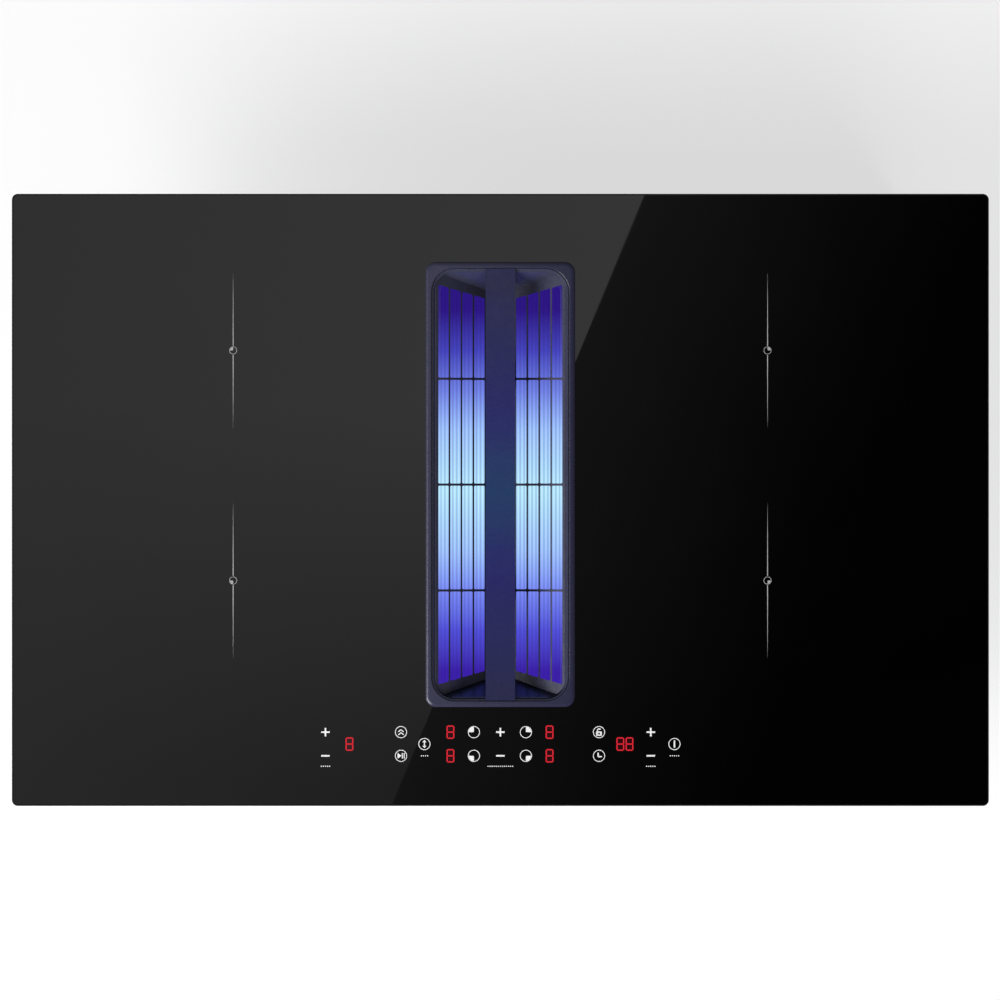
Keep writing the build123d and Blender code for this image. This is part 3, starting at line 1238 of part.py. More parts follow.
def control_tray():
    lap = CONTROL_TRAY_WALL
    length = CONTROL_LENGTH + 2 * lap
    width = CONTROL_WIDTH + 2 * lap
    bottom = CONTROL_BOTTOM - CONTROL_TRAY_DEPTH
    height = CONTROL_TRAY_DEPTH + BOARD_THICKNESS
    tray = block(length, width, height, 0, CONTROL_Y, bottom)
    hollow = block(length - 4 * lap, width - 4 * lap, height, 0, CONTROL_Y, bottom + lap)
    seat = block(CONTROL_LENGTH, CONTROL_WIDTH, height, 0, CONTROL_Y, CONTROL_BOTTOM)
    tray = tray - hollow - seat
    for x in (-1, 1):
        leg_height = bottom - CASING_FLOOR
        leg_x = x * (length / 2 - 2 * lap)
        tray = tray + block(4 * lap, width / 2, leg_height, leg_x, CONTROL_Y, CASING_FLOOR)
    return tray


def digit_displays():
    displays = []
    for x, y, length in digit_places():
        displays.append(block(length, DIGIT_WIDTH, DIGIT_HEIGHT, x, y, CONTROL_TOP))
    return group(displays)


def touch_pads():
    pads = []
    for x, y in pad_places():
        pads.append(rod(TOUCH_PAD_DIAMETER, CONTROL_DROP, x, y, CONTROL_TOP))
    return group(pads)


# ---- every node, by name ----


def nodes():
    made = {
        "glass_top": glass_top(),
        "rim_seal": rim_seal(),
        "glass_frame": glass_frame(),
        "casing_tray": casing_tray(),
        "panhead_screws": panhead_screws(),
        "worktop_springs": worktop_springs(),
        "intake_frame": intake_frame(),
        "louvre_basket": louvre_basket(),
        "centre_bar": centre_bar(),
        "grille_pads": grille_pads(),
        "shaft_gasket": shaft_gasket(),
        "intake_shaft": intake_shaft(),
        "filter_frame": filter_frame(),
        "filter_media": filter_media(),
        "lower_duct": lower_duct(),
        "overflow_tray": overflow_tray(),
        "blower_scroll": blower_scroll(),
        "inlet_plate": inlet_plate(),
        "suction_chamber": suction_chamber(),
        "motor": motor(),
        "motor_shaft": motor_shaft(),
        "motor_lead": motor_lead(),
        "impeller": impeller(),
        "outlet_spigot": outlet_spigot(),
        "coil_sensors": coil_sensors(),
        "leaf_springs": leaf_springs(),
        "bus_capacitors": bus_capacitors(),
        "line_chokes": line_chokes(),
        "terminal_block": terminal_block(),
        "cable_gland": cable_gland(),
        "touch_board": touch_board(),
        "control_tray": control_tray(),
        "digit_displays": digit_displays(),
        "touch_pads": touch_pads(),
    }
    for name, x, y in coil_places():
        made[f"mica_{name}"] = mica_sheet(x, y)
        made[f"coil_{name}"] = coil(x, y)
        made[f"ferrites_{name}"] = ferrite_bars(x, y)
        made[f"coil_carrier_{name}"] = coil_carrier(x, y)
    for name, side in SIDES.items():
        made[f"coil_deck_{name}"] = coil_deck(side)
        made[f"power_board_{name}"] = power_board(side)
        made[f"heat_sink_{name}"] = heat_sink(side)
        made[f"cooling_fan_case_{name}"] = cooling_fan_case(side)
        made[f"cooling_rotor_{name}"] = cooling_rotor(side)
    return made


os.makedirs("parts", exist_ok=True)
for node, shape in nodes().items():
    export_step(shape, f"parts/{node}.step")
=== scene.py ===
import json
import math

import bmesh
import bpy
from mathutils import Matrix, Vector


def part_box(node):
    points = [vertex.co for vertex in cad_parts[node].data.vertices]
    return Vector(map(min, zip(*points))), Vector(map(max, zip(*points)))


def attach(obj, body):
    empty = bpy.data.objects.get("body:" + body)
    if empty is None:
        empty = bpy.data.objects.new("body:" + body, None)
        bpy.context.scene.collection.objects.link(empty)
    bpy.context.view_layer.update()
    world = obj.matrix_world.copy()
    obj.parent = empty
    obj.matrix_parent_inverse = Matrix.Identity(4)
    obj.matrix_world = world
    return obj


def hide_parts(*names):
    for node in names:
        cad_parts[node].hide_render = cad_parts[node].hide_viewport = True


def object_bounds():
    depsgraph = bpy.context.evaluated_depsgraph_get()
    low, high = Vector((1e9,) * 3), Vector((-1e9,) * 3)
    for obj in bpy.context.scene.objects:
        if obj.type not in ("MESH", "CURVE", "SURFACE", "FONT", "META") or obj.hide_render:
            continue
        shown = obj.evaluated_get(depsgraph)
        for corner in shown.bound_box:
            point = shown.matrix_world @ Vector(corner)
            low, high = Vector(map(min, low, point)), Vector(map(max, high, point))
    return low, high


MM = 0.001
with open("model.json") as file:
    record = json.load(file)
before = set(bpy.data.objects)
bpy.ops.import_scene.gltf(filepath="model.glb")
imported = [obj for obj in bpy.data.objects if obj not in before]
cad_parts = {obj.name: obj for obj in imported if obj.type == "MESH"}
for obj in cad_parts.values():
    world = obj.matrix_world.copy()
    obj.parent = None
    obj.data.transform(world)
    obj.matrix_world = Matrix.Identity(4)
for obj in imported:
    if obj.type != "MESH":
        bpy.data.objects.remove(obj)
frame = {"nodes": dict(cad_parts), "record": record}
nodes = frame["nodes"]
cad_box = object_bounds()
scene = bpy.context.scene
scene.view_settings.view_transform = "Standard"

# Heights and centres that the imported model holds, in millimetres.
GLASS_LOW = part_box("glass_top")[0].z / MM
GLASS_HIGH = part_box("glass_top")[1].z / MM
VENT_Y = 13.0

# ---- camera: height over the glass and width of the view in metres, sensor in millimetres ----

CAMERA_HEIGHT = 12.0
VIEW_WIDTH = 0.8495
VIEW_CENTRE = (-0.0003, -0.0001)
SENSOR = 36.0

# ---- studio, in metres ----

STUDIO_REACH = 15.0
FLOOR_GAP = 0.0002
FLOOR_ALBEDO = 0.4
FLOOR_GLOW = 0.66
WORLD_PLAIN = 0.14
WORLD_GLOSS = 0.2
WHITE = (1.0, 1.0, 1.0, 1.0)
# Name, place, size, power and whether gloss shows it. Both lamps face the middle of the glass.
LAMPS = (
    ("key", (-2.42, -1.45, 1.9), 2.3, 146.0, True),
    ("fill", (1.4, -2.3, 2.2), 1.6, 34.0, False),
)

# The card over the glass. Places are those of its image in the glass, and CARD_SCALE takes them up.
CARD_HEIGHT = 3.0
CARD_HALF = 0.58
CARD_SCALE = 1.0 + CARD_HEIGHT / CAMERA_HEIGHT
EDGE_SLOPE = 0.414
EDGE_X = 0.0152
PALE_LEFT = -0.4
FRONT_SHADES, FRONT_RIGHT = (0.5, 0.31), -0.05
REAR_SHADES, REAR_RIGHT = (0.72, 0.88), 0.1
FRONT_Y, REAR_Y = -0.24, 0.08
DARK_SHADE, DARK_REACH, DARK_CURVE = 0.155, 0.32, 1.4

# ---- painted glow of the intake's light, in metres ----

# The painted glow's middle and reach along the grille, the heights that its painted contrast from the
# pleats' feet to their crests runs over, its painted dimming toward the rear, and the height over the
# worktop where a lifted filter shows none of it.
GLOW_Y, GLOW_REACH = 0.008, 0.17
PLEATS_LOW, PLEATS_HIGH = -0.058, -0.033
REAR_DIM, REAR_START, REAR_END = 0.58, 0.06, 0.165
GLOW_OUT = 0.03
GRILLE_HALF = 0.0635


# ---- node materials ----


def rgb(red, green, blue):
    """Scene colour of a display colour given in 0 to 255."""
    linear = []
    for value in (red, green, blue):
        share = value / 255
        linear.append(share / 12.92 if share <= 0.04045 else ((share + 0.055) / 1.055) ** 2.4)
    return (*linear, 1.0)


# Shades of the filter's painted glow, and of the centre bar's painted spill of that light, by
# distance from GLOW_Y.
PAINTED_GLOW_SHADES = (
    (0.0, rgb(171, 215, 241)),
    (0.3, rgb(148, 181, 237)),
    (0.5, rgb(112, 128, 226)),
    (0.7, rgb(76, 74, 202)),
    (0.9, rgb(56, 30, 158)),
)
# Painted light: the bar's shades paint the intake's blue light spilling onto its middle.
BAR_PAINTED_SPILL = (
    (0.0, rgb(19, 54, 99)),
    (0.15, rgb(24, 50, 101)),
    (0.3, rgb(27, 35, 101)),
    (0.45, rgb(29, 28, 98)),
    (0.62, rgb(29, 30, 90)),
    (0.88, rgb(30, 32, 77)),
    (1.0, rgb(32, 33, 68)),
)


class Finish:
    """A material's node tree with one Principled shader and helpers that vary it."""

    def __init__(self, name, colour, roughness, metallic=0.0):
        self.material = bpy.data.materials.new(name)
        self.material.use_nodes = True
        self.tree = self.material.node_tree
        self.shader = self.tree.nodes["Principled BSDF"]
        self.shader.inputs["Base Color"].default_value = colour
        self.shader.inputs["Roughness"].default_value = roughness
        self.shader.inputs["Metallic"].default_value = metallic
        self.shader.inputs["IOR"].default_value = 1.5
        coordinates = self.tree.nodes.new("ShaderNodeTexCoord").outputs
        self.place, self.normal = coordinates["Object"], coordinates["Normal"]

    def feed(self, socket, value):
        """Links another socket to this one, or sets this one to a constant."""
        if isinstance(value, bpy.types.NodeSocket):
            self.tree.links.new(value, socket)
        else:
            socket.default_value = value

    def node(self, kind, inputs, **settings):
        made = self.tree.nodes.new(kind)
        for key, value in settings.items():
            setattr(made, key, value)
        for key, value in inputs.items():
            self.feed(made.inputs[key], value)
        return made

    def math(self, operation, first, second=0.0):
        return self.node("ShaderNodeMath", {0: first, 1: second}, operation=operation).outputs[0]

    def axes(self):
        return self.node("ShaderNodeSeparateXYZ", {0: self.place}).outputs

    def facing(self):
        return self.node("ShaderNodeSeparateXYZ", {0: self.normal}).outputs

    def noise(self, scale, detail=3.0, stretch=None):
        place = self.place
        if stretch:
            place = self.node("ShaderNodeMapping", {"Vector": place, "Scale": stretch}).outputs[0]
        inputs = {"Vector": place, "Scale": scale, "Detail": detail}
        return self.node("ShaderNodeTexNoise", inputs).outputs["Fac"]

    def cells(self, scale):
        return self.node("ShaderNodeTexVoronoi", {"Vector": self.place, "Scale": scale}).outputs

    def span(self, factor, low, high, start=0.3, end=0.7):
        inputs = {"Value": factor, "From Min": start, "From Max": end}
        inputs.update({"To Min": low, "To Max": high})
        return self.node("ShaderNodeMapRange", inputs).outputs["Result"]

    def mix(self, factor, first, second):
        inputs = {0: factor, 6: first, 7: second}
        return self.node("ShaderNodeMix", inputs, data_type="RGBA").outputs[2]

    def between(self, factor, first, second):
        return self.node("ShaderNodeMix", {0: factor, 2: first, 3: second}).outputs[0]

    def ramp(self, factor, stops):
        made = self.node("ShaderNodeValToRGB", {"Fac": factor})
        points = made.color_ramp.elements
        while len(points) < len(stops):
            points.new(0.5)
        for point, (where, colour) in zip(points, stops):
            point.position = where
            point.color = colour
        return made.outputs["Color"]

    def colour(self, socket):
        self.feed(self.shader.inputs["Base Color"], socket)

    def tint(self, factor, first, second, start=0.3, end=0.7):
        self.colour(self.mix(self.span(factor, 0.0, 1.0, start, end), first, second))

    def rough(self, factor, low, high, start=0.3, end=0.7):
        self.feed(self.shader.inputs["Roughness"], self.span(factor, low, high, start, end))

    def bump(self, height, distance, strength=1.0):
        inputs = {"Height": height, "Distance": distance, "Strength": strength}
        made = self.node("ShaderNodeBump", inputs)
        self.feed(self.shader.inputs["Normal"], made.outputs["Normal"])

    def glow(self, colour, strength):
        self.feed(self.shader.inputs["Emission Color"], colour)
        self.feed(self.shader.inputs["Emission Strength"], strength)

    def away_from_light(self):
        """Distance from the middle of the intake's painted glow, along the grille."""
        return self.math("ABSOLUTE", self.math("SUBTRACT", self.axes()[1], GLOW_Y))

    def by_distance(self, away, stops):
        return self.ramp(self.span(away, 0.0, 1.0, 0.0, GLOW_REACH), stops)


def black_glass():
    made = Finish("black_glass", rgb(1, 1, 1), 0.02)
    made.tint(made.noise(9.0), rgb(0, 0, 0), rgb(2, 2, 2))
    made.rough(made.noise(14.0), 0.004, 0.012)
    return made.material


def ground_edge():
    made = Finish("ground_glass_edge", rgb(14, 15, 16), 0.45)
    made.shader.inputs["Specular IOR Level"].default_value = 0.1
    made.rough(made.noise(900.0), 0.38, 0.55)
    made.bump(made.noise(2500.0), 0.00002)
    return made.material


def cast_metal(name, deep, light, stops=None, painted_rear_shade=None, left=None):
    """Fine-grained dark casting with a satin lacquer.

    stops give its painted spill of the intake's blue light, by distance from GLOW_Y; the rearward
    colour is a painted shade on faces turned to the rear, away from the lamps; left is painted light
    that makes it lighter toward the grille's left side.
    """
    made = Finish(name, deep, 0.3)
    grain = made.span(made.noise(30.0, 5.0), 0.0, 1.0)
    shade = made.mix(grain, deep, light)
    # Painted light: stops paint the intake's blue light spilling along the piece.
    if stops:
        placed = made.by_distance(made.away_from_light(), stops)
        shade = made.mix(made.math("MULTIPLY", grain, 0.25), placed, shade)
    # Painted shade: faces turned to the rear, away from the lamps, are darkened.
    if painted_rear_shade:
        shade = made.mix(made.span(made.facing()[1], 0.0, 1.0, 0.3, 0.6), shade, painted_rear_shade)
    # Painted light: lighter toward the grille's left side, where the key lamp stands.
    if left:
        across = made.span(made.axes()[0], 0.0, 1.0, -GRILLE_HALF, GRILLE_HALF)
        shade = made.mix(across, left, shade)
    made.colour(shade)
    made.rough(made.noise(160.0), 0.23, 0.31)
    made.bump(made.noise(2600.0, 2.0), 0.00002, 0.4)
    return made.material


def grained(name, deep, light, roughness, grain, depth):
    """Moulded plastic or rubber with a fine erosion grain."""
    made = Finish(name, deep, roughness)
    made.tint(made.noise(22.0, 4.0), deep, light)
    made.rough(made.noise(300.0), roughness - 0.06, roughness + 0.06)
    made.bump(made.noise(grain, 3.0), depth, 0.6)
    return made.material


def foam():
    made = Finish("closed_cell_foam", rgb(36, 36, 38), 0.95)
    pores = made.cells(900.0)["Distance"]
    made.tint(pores, rgb(24, 24, 25), rgb(46, 46, 48), 0.1, 0.6)
    made.bump(pores, 0.0001)
    return made.material


def zinc():
    """Galvanised sheet with a small spangle."""
    made = Finish("zinc_sheet", rgb(170, 173, 177), 0.36, 1.0)
    flakes = made.cells(240.0)["Color"]
    flake = made.node("ShaderNodeSeparateColor", {0: flakes}).outputs[0]
    made.tint(flake, rgb(160, 164, 168), rgb(178, 182, 186), 0.0, 1.0)
    made.rough(flake, 0.34, 0.42, 0.0, 1.0)
    made.bump(made.noise(60.0), 0.00005, 0.4)
    return made.material


def brushed(name, deep, light, stretch):
    """Bare metal with fine brush lines along one axis."""
    made = Finish(name, light, 0.3, 1.0)
    lines = made.noise(900.0, 4.0, stretch)
    made.tint(lines, deep, light)
    made.rough(lines, 0.22, 0.4)
    made.bump(lines, 0.00001, 0.5)
    return made.material


def painted_shaft_glow(made):
    """Paints the intake's light onto a filter's finish as a glow, while the filter is in the shaft.

    The filter is no lamp. The pleats' crests are painted brighter than their feet, and the rear
    is painted dimmer than the front.
    """
    _, y, z = made.axes()
    away = made.away_from_light()
    crest = made.span(z, -0.5, 0.5, PLEATS_LOW, PLEATS_HIGH)
    contrast = made.span(away, 0.6, 0.1, 0.04, 0.16)
    strength = made.math("ADD", 0.9, made.math("MULTIPLY", crest, contrast))
    rear = made.span(y, 1.0, REAR_DIM, REAR_START, REAR_END)
    position = made.node("ShaderNodeNewGeometry", {}).outputs["Position"]
    height = made.node("ShaderNodeSeparateXYZ", {0: position}).outputs[2]
    inside = made.span(height, 1.0, 0.0, 0.0, GLOW_OUT)
    strength = made.math("MULTIPLY", made.math("MULTIPLY", strength, rear), inside)
    # Painted light: the filter glows, though it is no lamp.
    made.glow(made.by_distance(away, PAINTED_GLOW_SHADES), strength)


def filter_mesh():
    """Pleated mesh of fine wire, with the intake's light painted on as a glow."""
    made = Finish("filter_mesh", rgb(70, 72, 78), 0.5, 1.0)
    weave = made.cells(1500.0)["Distance"]
    made.tint(weave, rgb(40, 42, 48), rgb(84, 86, 92), 0.1, 0.6)
    made.bump(weave, 0.0001)
    painted_shaft_glow(made)
    return made.material


def filter_sheet():
    """Folded sheet of the filter's frame, with the intake's light painted on as a glow."""
    made = Finish("filter_sheet", rgb(96, 98, 102), 0.35, 1.0)
    lines = made.noise(900.0, 4.0, (1.0, 0.05, 1.0))
    made.tint(lines, rgb(82, 84, 88), rgb(108, 110, 114))
    made.rough(lines, 0.28, 0.44)
    painted_shaft_glow(made)
    return made.material


def circuit_board():
    made = Finish("circuit_board", rgb(18, 84, 46), 0.3)
    made.tint(made.cells(260.0)["Distance"], rgb(12, 66, 34), rgb(34, 112, 64), 0.1, 0.5)
    made.bump(made.noise(400.0), 0.00003)
    return made.material


def litz_copper():
    """Round turns of stranded copper, side by side."""
    made = Finish("litz_copper", rgb(150, 88, 52), 0.4, 1.0)
    strand = made.noise(1400.0, 3.0, (1.0, 0.2, 1.0))
    made.tint(strand, rgb(112, 62, 36), rgb(184, 112, 68))
    made.rough(strand, 0.3, 0.5)
    made.bump(strand, 0.0001)
    return made.material


def mottled(name, deep, light, roughness, scale, metallic=0.0):
    made = Finish(name, deep, roughness, metallic)
    made.tint(made.noise(scale, 6.0), deep, light)
    made.rough(made.noise(2 * scale), roughness - 0.05, roughness + 0.08)
    made.bump(made.noise(6 * scale), 0.00004)
    return made.material


def white_print():
    """Fired enamel print on the glass, with a faint painted glow."""
    made = Finish("white_print", rgb(232, 232, 232), 0.5)
    made.tint(made.noise(1200.0), rgb(222, 222, 222), rgb(240, 240, 240))
    # Painted light: a faint glow that makes the print read brighter, though it is no lamp.
    made.glow(rgb(255, 255, 255), 0.12)
    return made.material


def grey_print():
    """Thinner print of the zone marks."""
    made = Finish("grey_print", rgb(176, 176, 178), 0.5)
    made.tint(made.noise(1200.0), rgb(168, 168, 170), rgb(184, 184, 186))
    made.rough(made.noise(900.0), 0.45, 0.6)
    return made.material


def red_segment():
    made = Finish("lit_red_segment", rgb(120, 10, 16), 0.4)
    made.tint(made.noise(900.0), rgb(110, 8, 14), rgb(135, 12, 20))
    made.glow(rgb(194, 20, 40), 1.0)
    return made.material


def red_window():
    """Dark red window that a lit digit shows in, with a faint painted glow standing in for the
    digits' light.
    """
    made = Finish("red_window", rgb(20, 1, 3), 0.03)
    made.tint(made.noise(400.0), rgb(18, 1, 2), rgb(24, 2, 4))
    # Painted light: the window glows faintly, though it is no lamp.
    made.glow(rgb(34, 2, 5), 1.0)
    return made.material


# ---- meshes, from outlines in millimetres ----


def arc(x, y, radius, start, end, steps):
    """Points of an arc from start to end in degrees, both ends included."""
    points = []
    for n in range(steps + 1):
        angle = math.radians(start + (end - start) * n / steps)
        points.append((x + radius * math.cos(angle), y + radius * math.sin(angle)))
    return points


def rounded(width, length, corner, x=0.0, y=0.0, steps=6):
    """Outline of a rounded rectangle, anticlockwise."""
    points = []
    for n, (side_x, side_y) in enumerate(((1, 1), (-1, 1), (-1, -1), (1, -1))):
        centre_x = x + side_x * (width / 2 - corner)
        centre_y = y + side_y * (length / 2 - corner)
        points += arc(centre_x, centre_y, corner, 90 * n, 90 * (n + 1), steps)
    return points


def ring_of(mesh, points, height):
    return [mesh.verts.new((x * MM, y * MM, height * MM)) for x, y in points]


def band(mesh, first, second):
    """Quads between two rings with the same number of points."""
    faces = []
    for n in range(len(first)):
        following = (n + 1) % len(first)
        faces.append(mesh.faces.new((first[n], first[following], second[following], second[n])))
    return faces


def prism(mesh, outline, low, high):
    """Closed upright prism over a simple anticlockwise outline."""
    bottom = ring_of(mesh, outline, low)
    top = ring_of(mesh, outline, high)
    band(mesh, bottom, top)
    mesh.faces.new(top)
    mesh.faces.new(list(reversed(bottom)))


def tube(mesh, outer, inner, low, high):
    """Closed upright ring between two outlines with the same number of points."""
    rings = [ring_of(mesh, outer, low), ring_of(mesh, outer, high)]
    rings += [ring_of(mesh, inner, high), ring_of(mesh, inner, low)]
    for n in range(4):
        band(mesh, rings[n], rings[(n + 1) % 4])


def object_of(name, mesh, finishes):
    """Object from a bmesh, with its materials."""
    data = bpy.data.meshes.new(name)
    mesh.to_mesh(data)
    mesh.free()
    for finish in finishes:
        data.materials.append(finish)
    made = bpy.data.objects.new(name, data)
    scene.collection.objects.link(made)
    return made


def piece(name, mesh, finishes, body, smooth=None):
    """New piece of the part, riding a body; smooth is the angle in degrees that stays sharp."""
    bmesh.ops.recalc_face_normals(mesh, faces=mesh.faces)
    made = object_of(name, mesh, finishes)
    if smooth is not None:
        made.data.shade_smooth()
        made.data.set_sharp_from_angle(angle=math.radians(smooth))
    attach(made, body)
    return made


# ---- camera and studio ----


def make_camera():
    data = bpy.data.cameras.new("camera")
    camera = bpy.data.objects.new("camera", data)
    scene.collection.objects.link(camera)
    camera.location = (*VIEW_CENTRE, GLASS_HIGH * MM + CAMERA_HEIGHT)
    data.sensor_width = SENSOR
    data.lens = SENSOR * CAMERA_HEIGHT / VIEW_WIDTH
    data.clip_end = 100.0
    scene.camera = camera


def plane(name, half, height, finish):
    mesh = bmesh.new()
    corners = [(-half, -half), (half, -half), (half, half), (-half, half)]
    mesh.faces.new([mesh.verts.new((x, y, height)) for x, y in corners])
    made = object_of(name, mesh, [finish])
    return made


def floor_finish():
    """Pale floor that reads white to the camera and still takes a soft shadow."""
    made = Finish("studio_floor", (FLOOR_ALBEDO, FLOOR_ALBEDO, FLOOR_ALBEDO, 1.0), 0.9)
    made.shader.inputs["Specular IOR Level"].default_value = 0.0
    seen = made.node("ShaderNodeLightPath", {}).outputs["Is Camera Ray"]
    made.glow(WHITE, made.math("MULTIPLY", seen, FLOOR_GLOW))
    return made.material


def card_finish():
    """Overhead reflection: pale to the left of a slanted edge, and dark to its right."""
    made = Finish("reflection_card", (0.0, 0.0, 0.0, 1.0), 1.0)
    x, y, _ = made.axes()
    edge = made.math("ADD", made.math("MULTIPLY", y, EDGE_SLOPE), EDGE_X * CARD_SCALE)
    past = made.math("SUBTRACT", x, edge)
    start = PALE_LEFT * CARD_SCALE
    front = made.span(x, *FRONT_SHADES, start, FRONT_RIGHT * CARD_SCALE)
    rear = made.span(x, *REAR_SHADES, start, REAR_RIGHT * CARD_SCALE)
    rise = made.span(y, 0.0, 1.0, FRONT_Y * CARD_SCALE, REAR_Y * CARD_SCALE)
    pale = made.between(rise, front, rear)
    fade = made.span(past, 1.0, 0.0, 0.0, DARK_REACH * CARD_SCALE)
    dark = made.math("MULTIPLY", made.math("POWER", fade, DARK_CURVE), DARK_SHADE)
    made.glow(WHITE, made.between(made.math("GREATER_THAN", past, 0.0), pale, dark))
    return made.material


def make_card():
    card = plane("reflection_card", CARD_HALF, 0.0, card_finish())
    card.location.z = GLASS_HIGH * MM + CARD_HEIGHT
    card.visible_camera = False
    card.visible_diffuse = False
    card.visible_transmission = False
    card.visible_shadow = False


def make_world():
    """White to the camera, softer grey to gloss and to plain light."""
    world = bpy.data.worlds.new("studio")
    world.use_nodes = True
    tree = world.node_tree
    shade = tree.nodes["Background"]
    path = tree.nodes.new("ShaderNodeLightPath")
    lit = tree.nodes.new("ShaderNodeMix")
    lit.inputs[2].default_value = WORLD_PLAIN
    lit.inputs[3].default_value = WORLD_GLOSS
    tree.links.new(path.outputs["Is Glossy Ray"], lit.inputs[0])
    seen = tree.nodes.new("ShaderNodeMix")
    seen.inputs[3].default_value = 1.0
    tree.links.new(path.outputs["Is Camera Ray"], seen.inputs[0])
    tree.links.new(lit.outputs[0], seen.inputs[2])
    tree.links.new(seen.outputs[0], shade.inputs["Strength"])
    shade.inputs["Color"].default_value = WHITE
    scene.world = world


def lamp(name, place, size, power, glossy):
    data = bpy.data.lights.new(name, "AREA")
    data.shape = "SQUARE"
    data.size = size
    data.energy = power
    made = bpy.data.objects.new(name, data)
    scene.collection.objects.link(made)
    made.location = place
    made.rotation_mode = "QUATERNION"
    made.rotation_quaternion = (-Vector(place)).to_track_quat("-Z", "Y")
    made.visible_glossy = glossy


def make_studio():
    plane("studio_floor", STUDIO_REACH, cad_box[0].z - FLOOR_GAP, floor_finish())
    make_card()
    make_world()
    for row in LAMPS:
        lamp(*row)


# ---- glass ----

GLASS_CORNER = 5.0
CORNER_CLOSING = 0.8
CUT_WIDTH = 120.0
CUT_LENGTH = 370.5
CUT_CORNER = 21.75

# Inset from the glass's side and height of each ring of its edge, from the underside up.
EDGE_PROFILE = (
    (0.4, GLASS_LOW),
    (0.0, GLASS_LOW + 0.4),
    (0.0, GLASS_HIGH - 1.2),
    (0.1, GLASS_HIGH - 0.72),
    (0.32, GLASS_HIGH - 0.32),
    (0.62, GLASS_HIGH - 0.09),
    (0.9, GLASS_HIGH),
    (1.3, GLASS_HIGH),
)
# Growth of the cut-out and height of each of its rings, from the top down.
CUT_PROFILE = ((0.8, GLASS_HIGH), (0.35, GLASS_HIGH), (0.0, GLASS_HIGH - 0.35), (0.0, GLASS_LOW))


def plan_of(node):
    """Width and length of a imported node's box."""
    low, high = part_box(node)
    return (high.x - low.x) / MM, (high.y - low.y) / MM


def glass_plate():
    """Glass with a ground pencil edge and the vent's cut-out."""
    mesh = bmesh.new()
    width, length = plan_of("glass_top")
    rings = []
    for inset, height in EDGE_PROFILE:
        corner = GLASS_CORNER - CORNER_CLOSING * inset
        outline = rounded(width - 2 * inset, length - 2 * inset, corner, steps=8)
        rings.append(ring_of(mesh, outline, height))
    ground = []
    for lower, upper in zip(rings[:-1], rings[1:-1]):
        ground += band(mesh, lower, upper)
    band(mesh, rings[-2], rings[-1])
    cut = []
    for grow, height in CUT_PROFILE:
        wide, long = CUT_WIDTH + 2 * grow, CUT_LENGTH + 2 * grow
        outline = rounded(wide, long, CUT_CORNER + grow, 0.0, VENT_Y, steps=8)
        cut.append(ring_of(mesh, outline, height))
    band(mesh, cut[0], cut[1])
    for upper, lower in zip(cut[1:], cut[2:]):
        ground += band(mesh, upper, lower)
    band(mesh, rings[-1], cut[0])
    band(mesh, cut[-1], rings[0])
    for face in ground:
        face.material_index = 1
    finishes = [black_glass(), ground_edge()]
    made = piece("glass_plate", mesh, finishes, "hob", smooth=40)
    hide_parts("glass_top")


# ---- grille frame, profile given as inset from its outer edge, height and corner ----

FRAME_FLANGE = 2.5
FRAME_CORNER = 9.0
CROWN_WIDTH = 3.6
CROWN_HEIGHT = 2.0
OPENING_INSET = 5.25
OPENING_CORNER = 20.0
OPENING_ROUND = 1.0
LEDGE = 1.25
SKIRT_WALL = 2.0
SUPPORT = 0.12


def frame_profile(top, low):
    """Points round the frame's section: crowned edge, top, opening, ledge, skirt and underside.

    SUPPORT sets a ring close to each end of the flat top, so that the top shades flat.
    """
    floor = top - FRAME_FLANGE
    points = [(0.0, floor, FRAME_CORNER)]
    for n in range(9):
        turn = math.radians(90 * n / 8)
        inset = CROWN_WIDTH * (1 - math.cos(turn))
        points.append((inset, top - CROWN_HEIGHT * (1 - math.sin(turn)), FRAME_CORNER - inset))
    points.append((CROWN_WIDTH + SUPPORT, top, FRAME_CORNER - CROWN_WIDTH - SUPPORT))
    reach = OPENING_ROUND + SUPPORT
    points.append((OPENING_INSET - reach, top, OPENING_CORNER + reach))
    for n in range(6):
        turn = math.radians(90 * n / 5)
        reach = OPENING_ROUND * (1 - math.sin(turn))
        drop = OPENING_ROUND * (1 - math.cos(turn))
        points.append((OPENING_INSET - reach, top - drop, OPENING_CORNER + reach))
    points.append((OPENING_INSET, floor, OPENING_CORNER))
    inner, corner = OPENING_INSET + LEDGE, OPENING_CORNER - LEDGE
    points.append((inner, floor, corner))
    points.append((inner, low, corner))
    points.append((inner - SKIRT_WALL, low, corner + SKIRT_WALL))
    points.append((inner - SKIRT_WALL, floor, corner + SKIRT_WALL))
    return points


def cast_frame(finish):
    """Cast frame with its skirt, and the round that its opening has at the top."""
    mesh = bmesh.new()
    low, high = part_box("intake_frame")
    width, length = plan_of("intake_frame")
    rings = []
    for inset, height, corner in frame_profile(high.z / MM, low.z / MM):
        wide, long = width - 2 * inset, length - 2 * inset
        outline = rounded(wide, long, corner, 0.0, VENT_Y, steps=12)
        rings.append(ring_of(mesh, outline, height))
    for n in range(len(rings)):
        band(mesh, rings[n], rings[(n + 1) % len(rings)])
    made = piece("cast_frame", mesh, [finish], "intake_grille", smooth=35)
    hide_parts("intake_frame")


# ---- small screws under the hob ----

SCREW_RADIUS = 2.5
SCREW_RISE = 1.6
# Duct's flange, which the screws hold from below: its underside, and where they stand round it.
DUCT_FLANGE_FOOT = -59.5
DUCT_SIDE_X = 71.5
DUCT_LEFT_Y, DUCT_RIGHT_Y = (-150, -50, 50, 150), (-150, 150)
DUCT_END_X, DUCT_END_Y = (-40, 40), 196.75
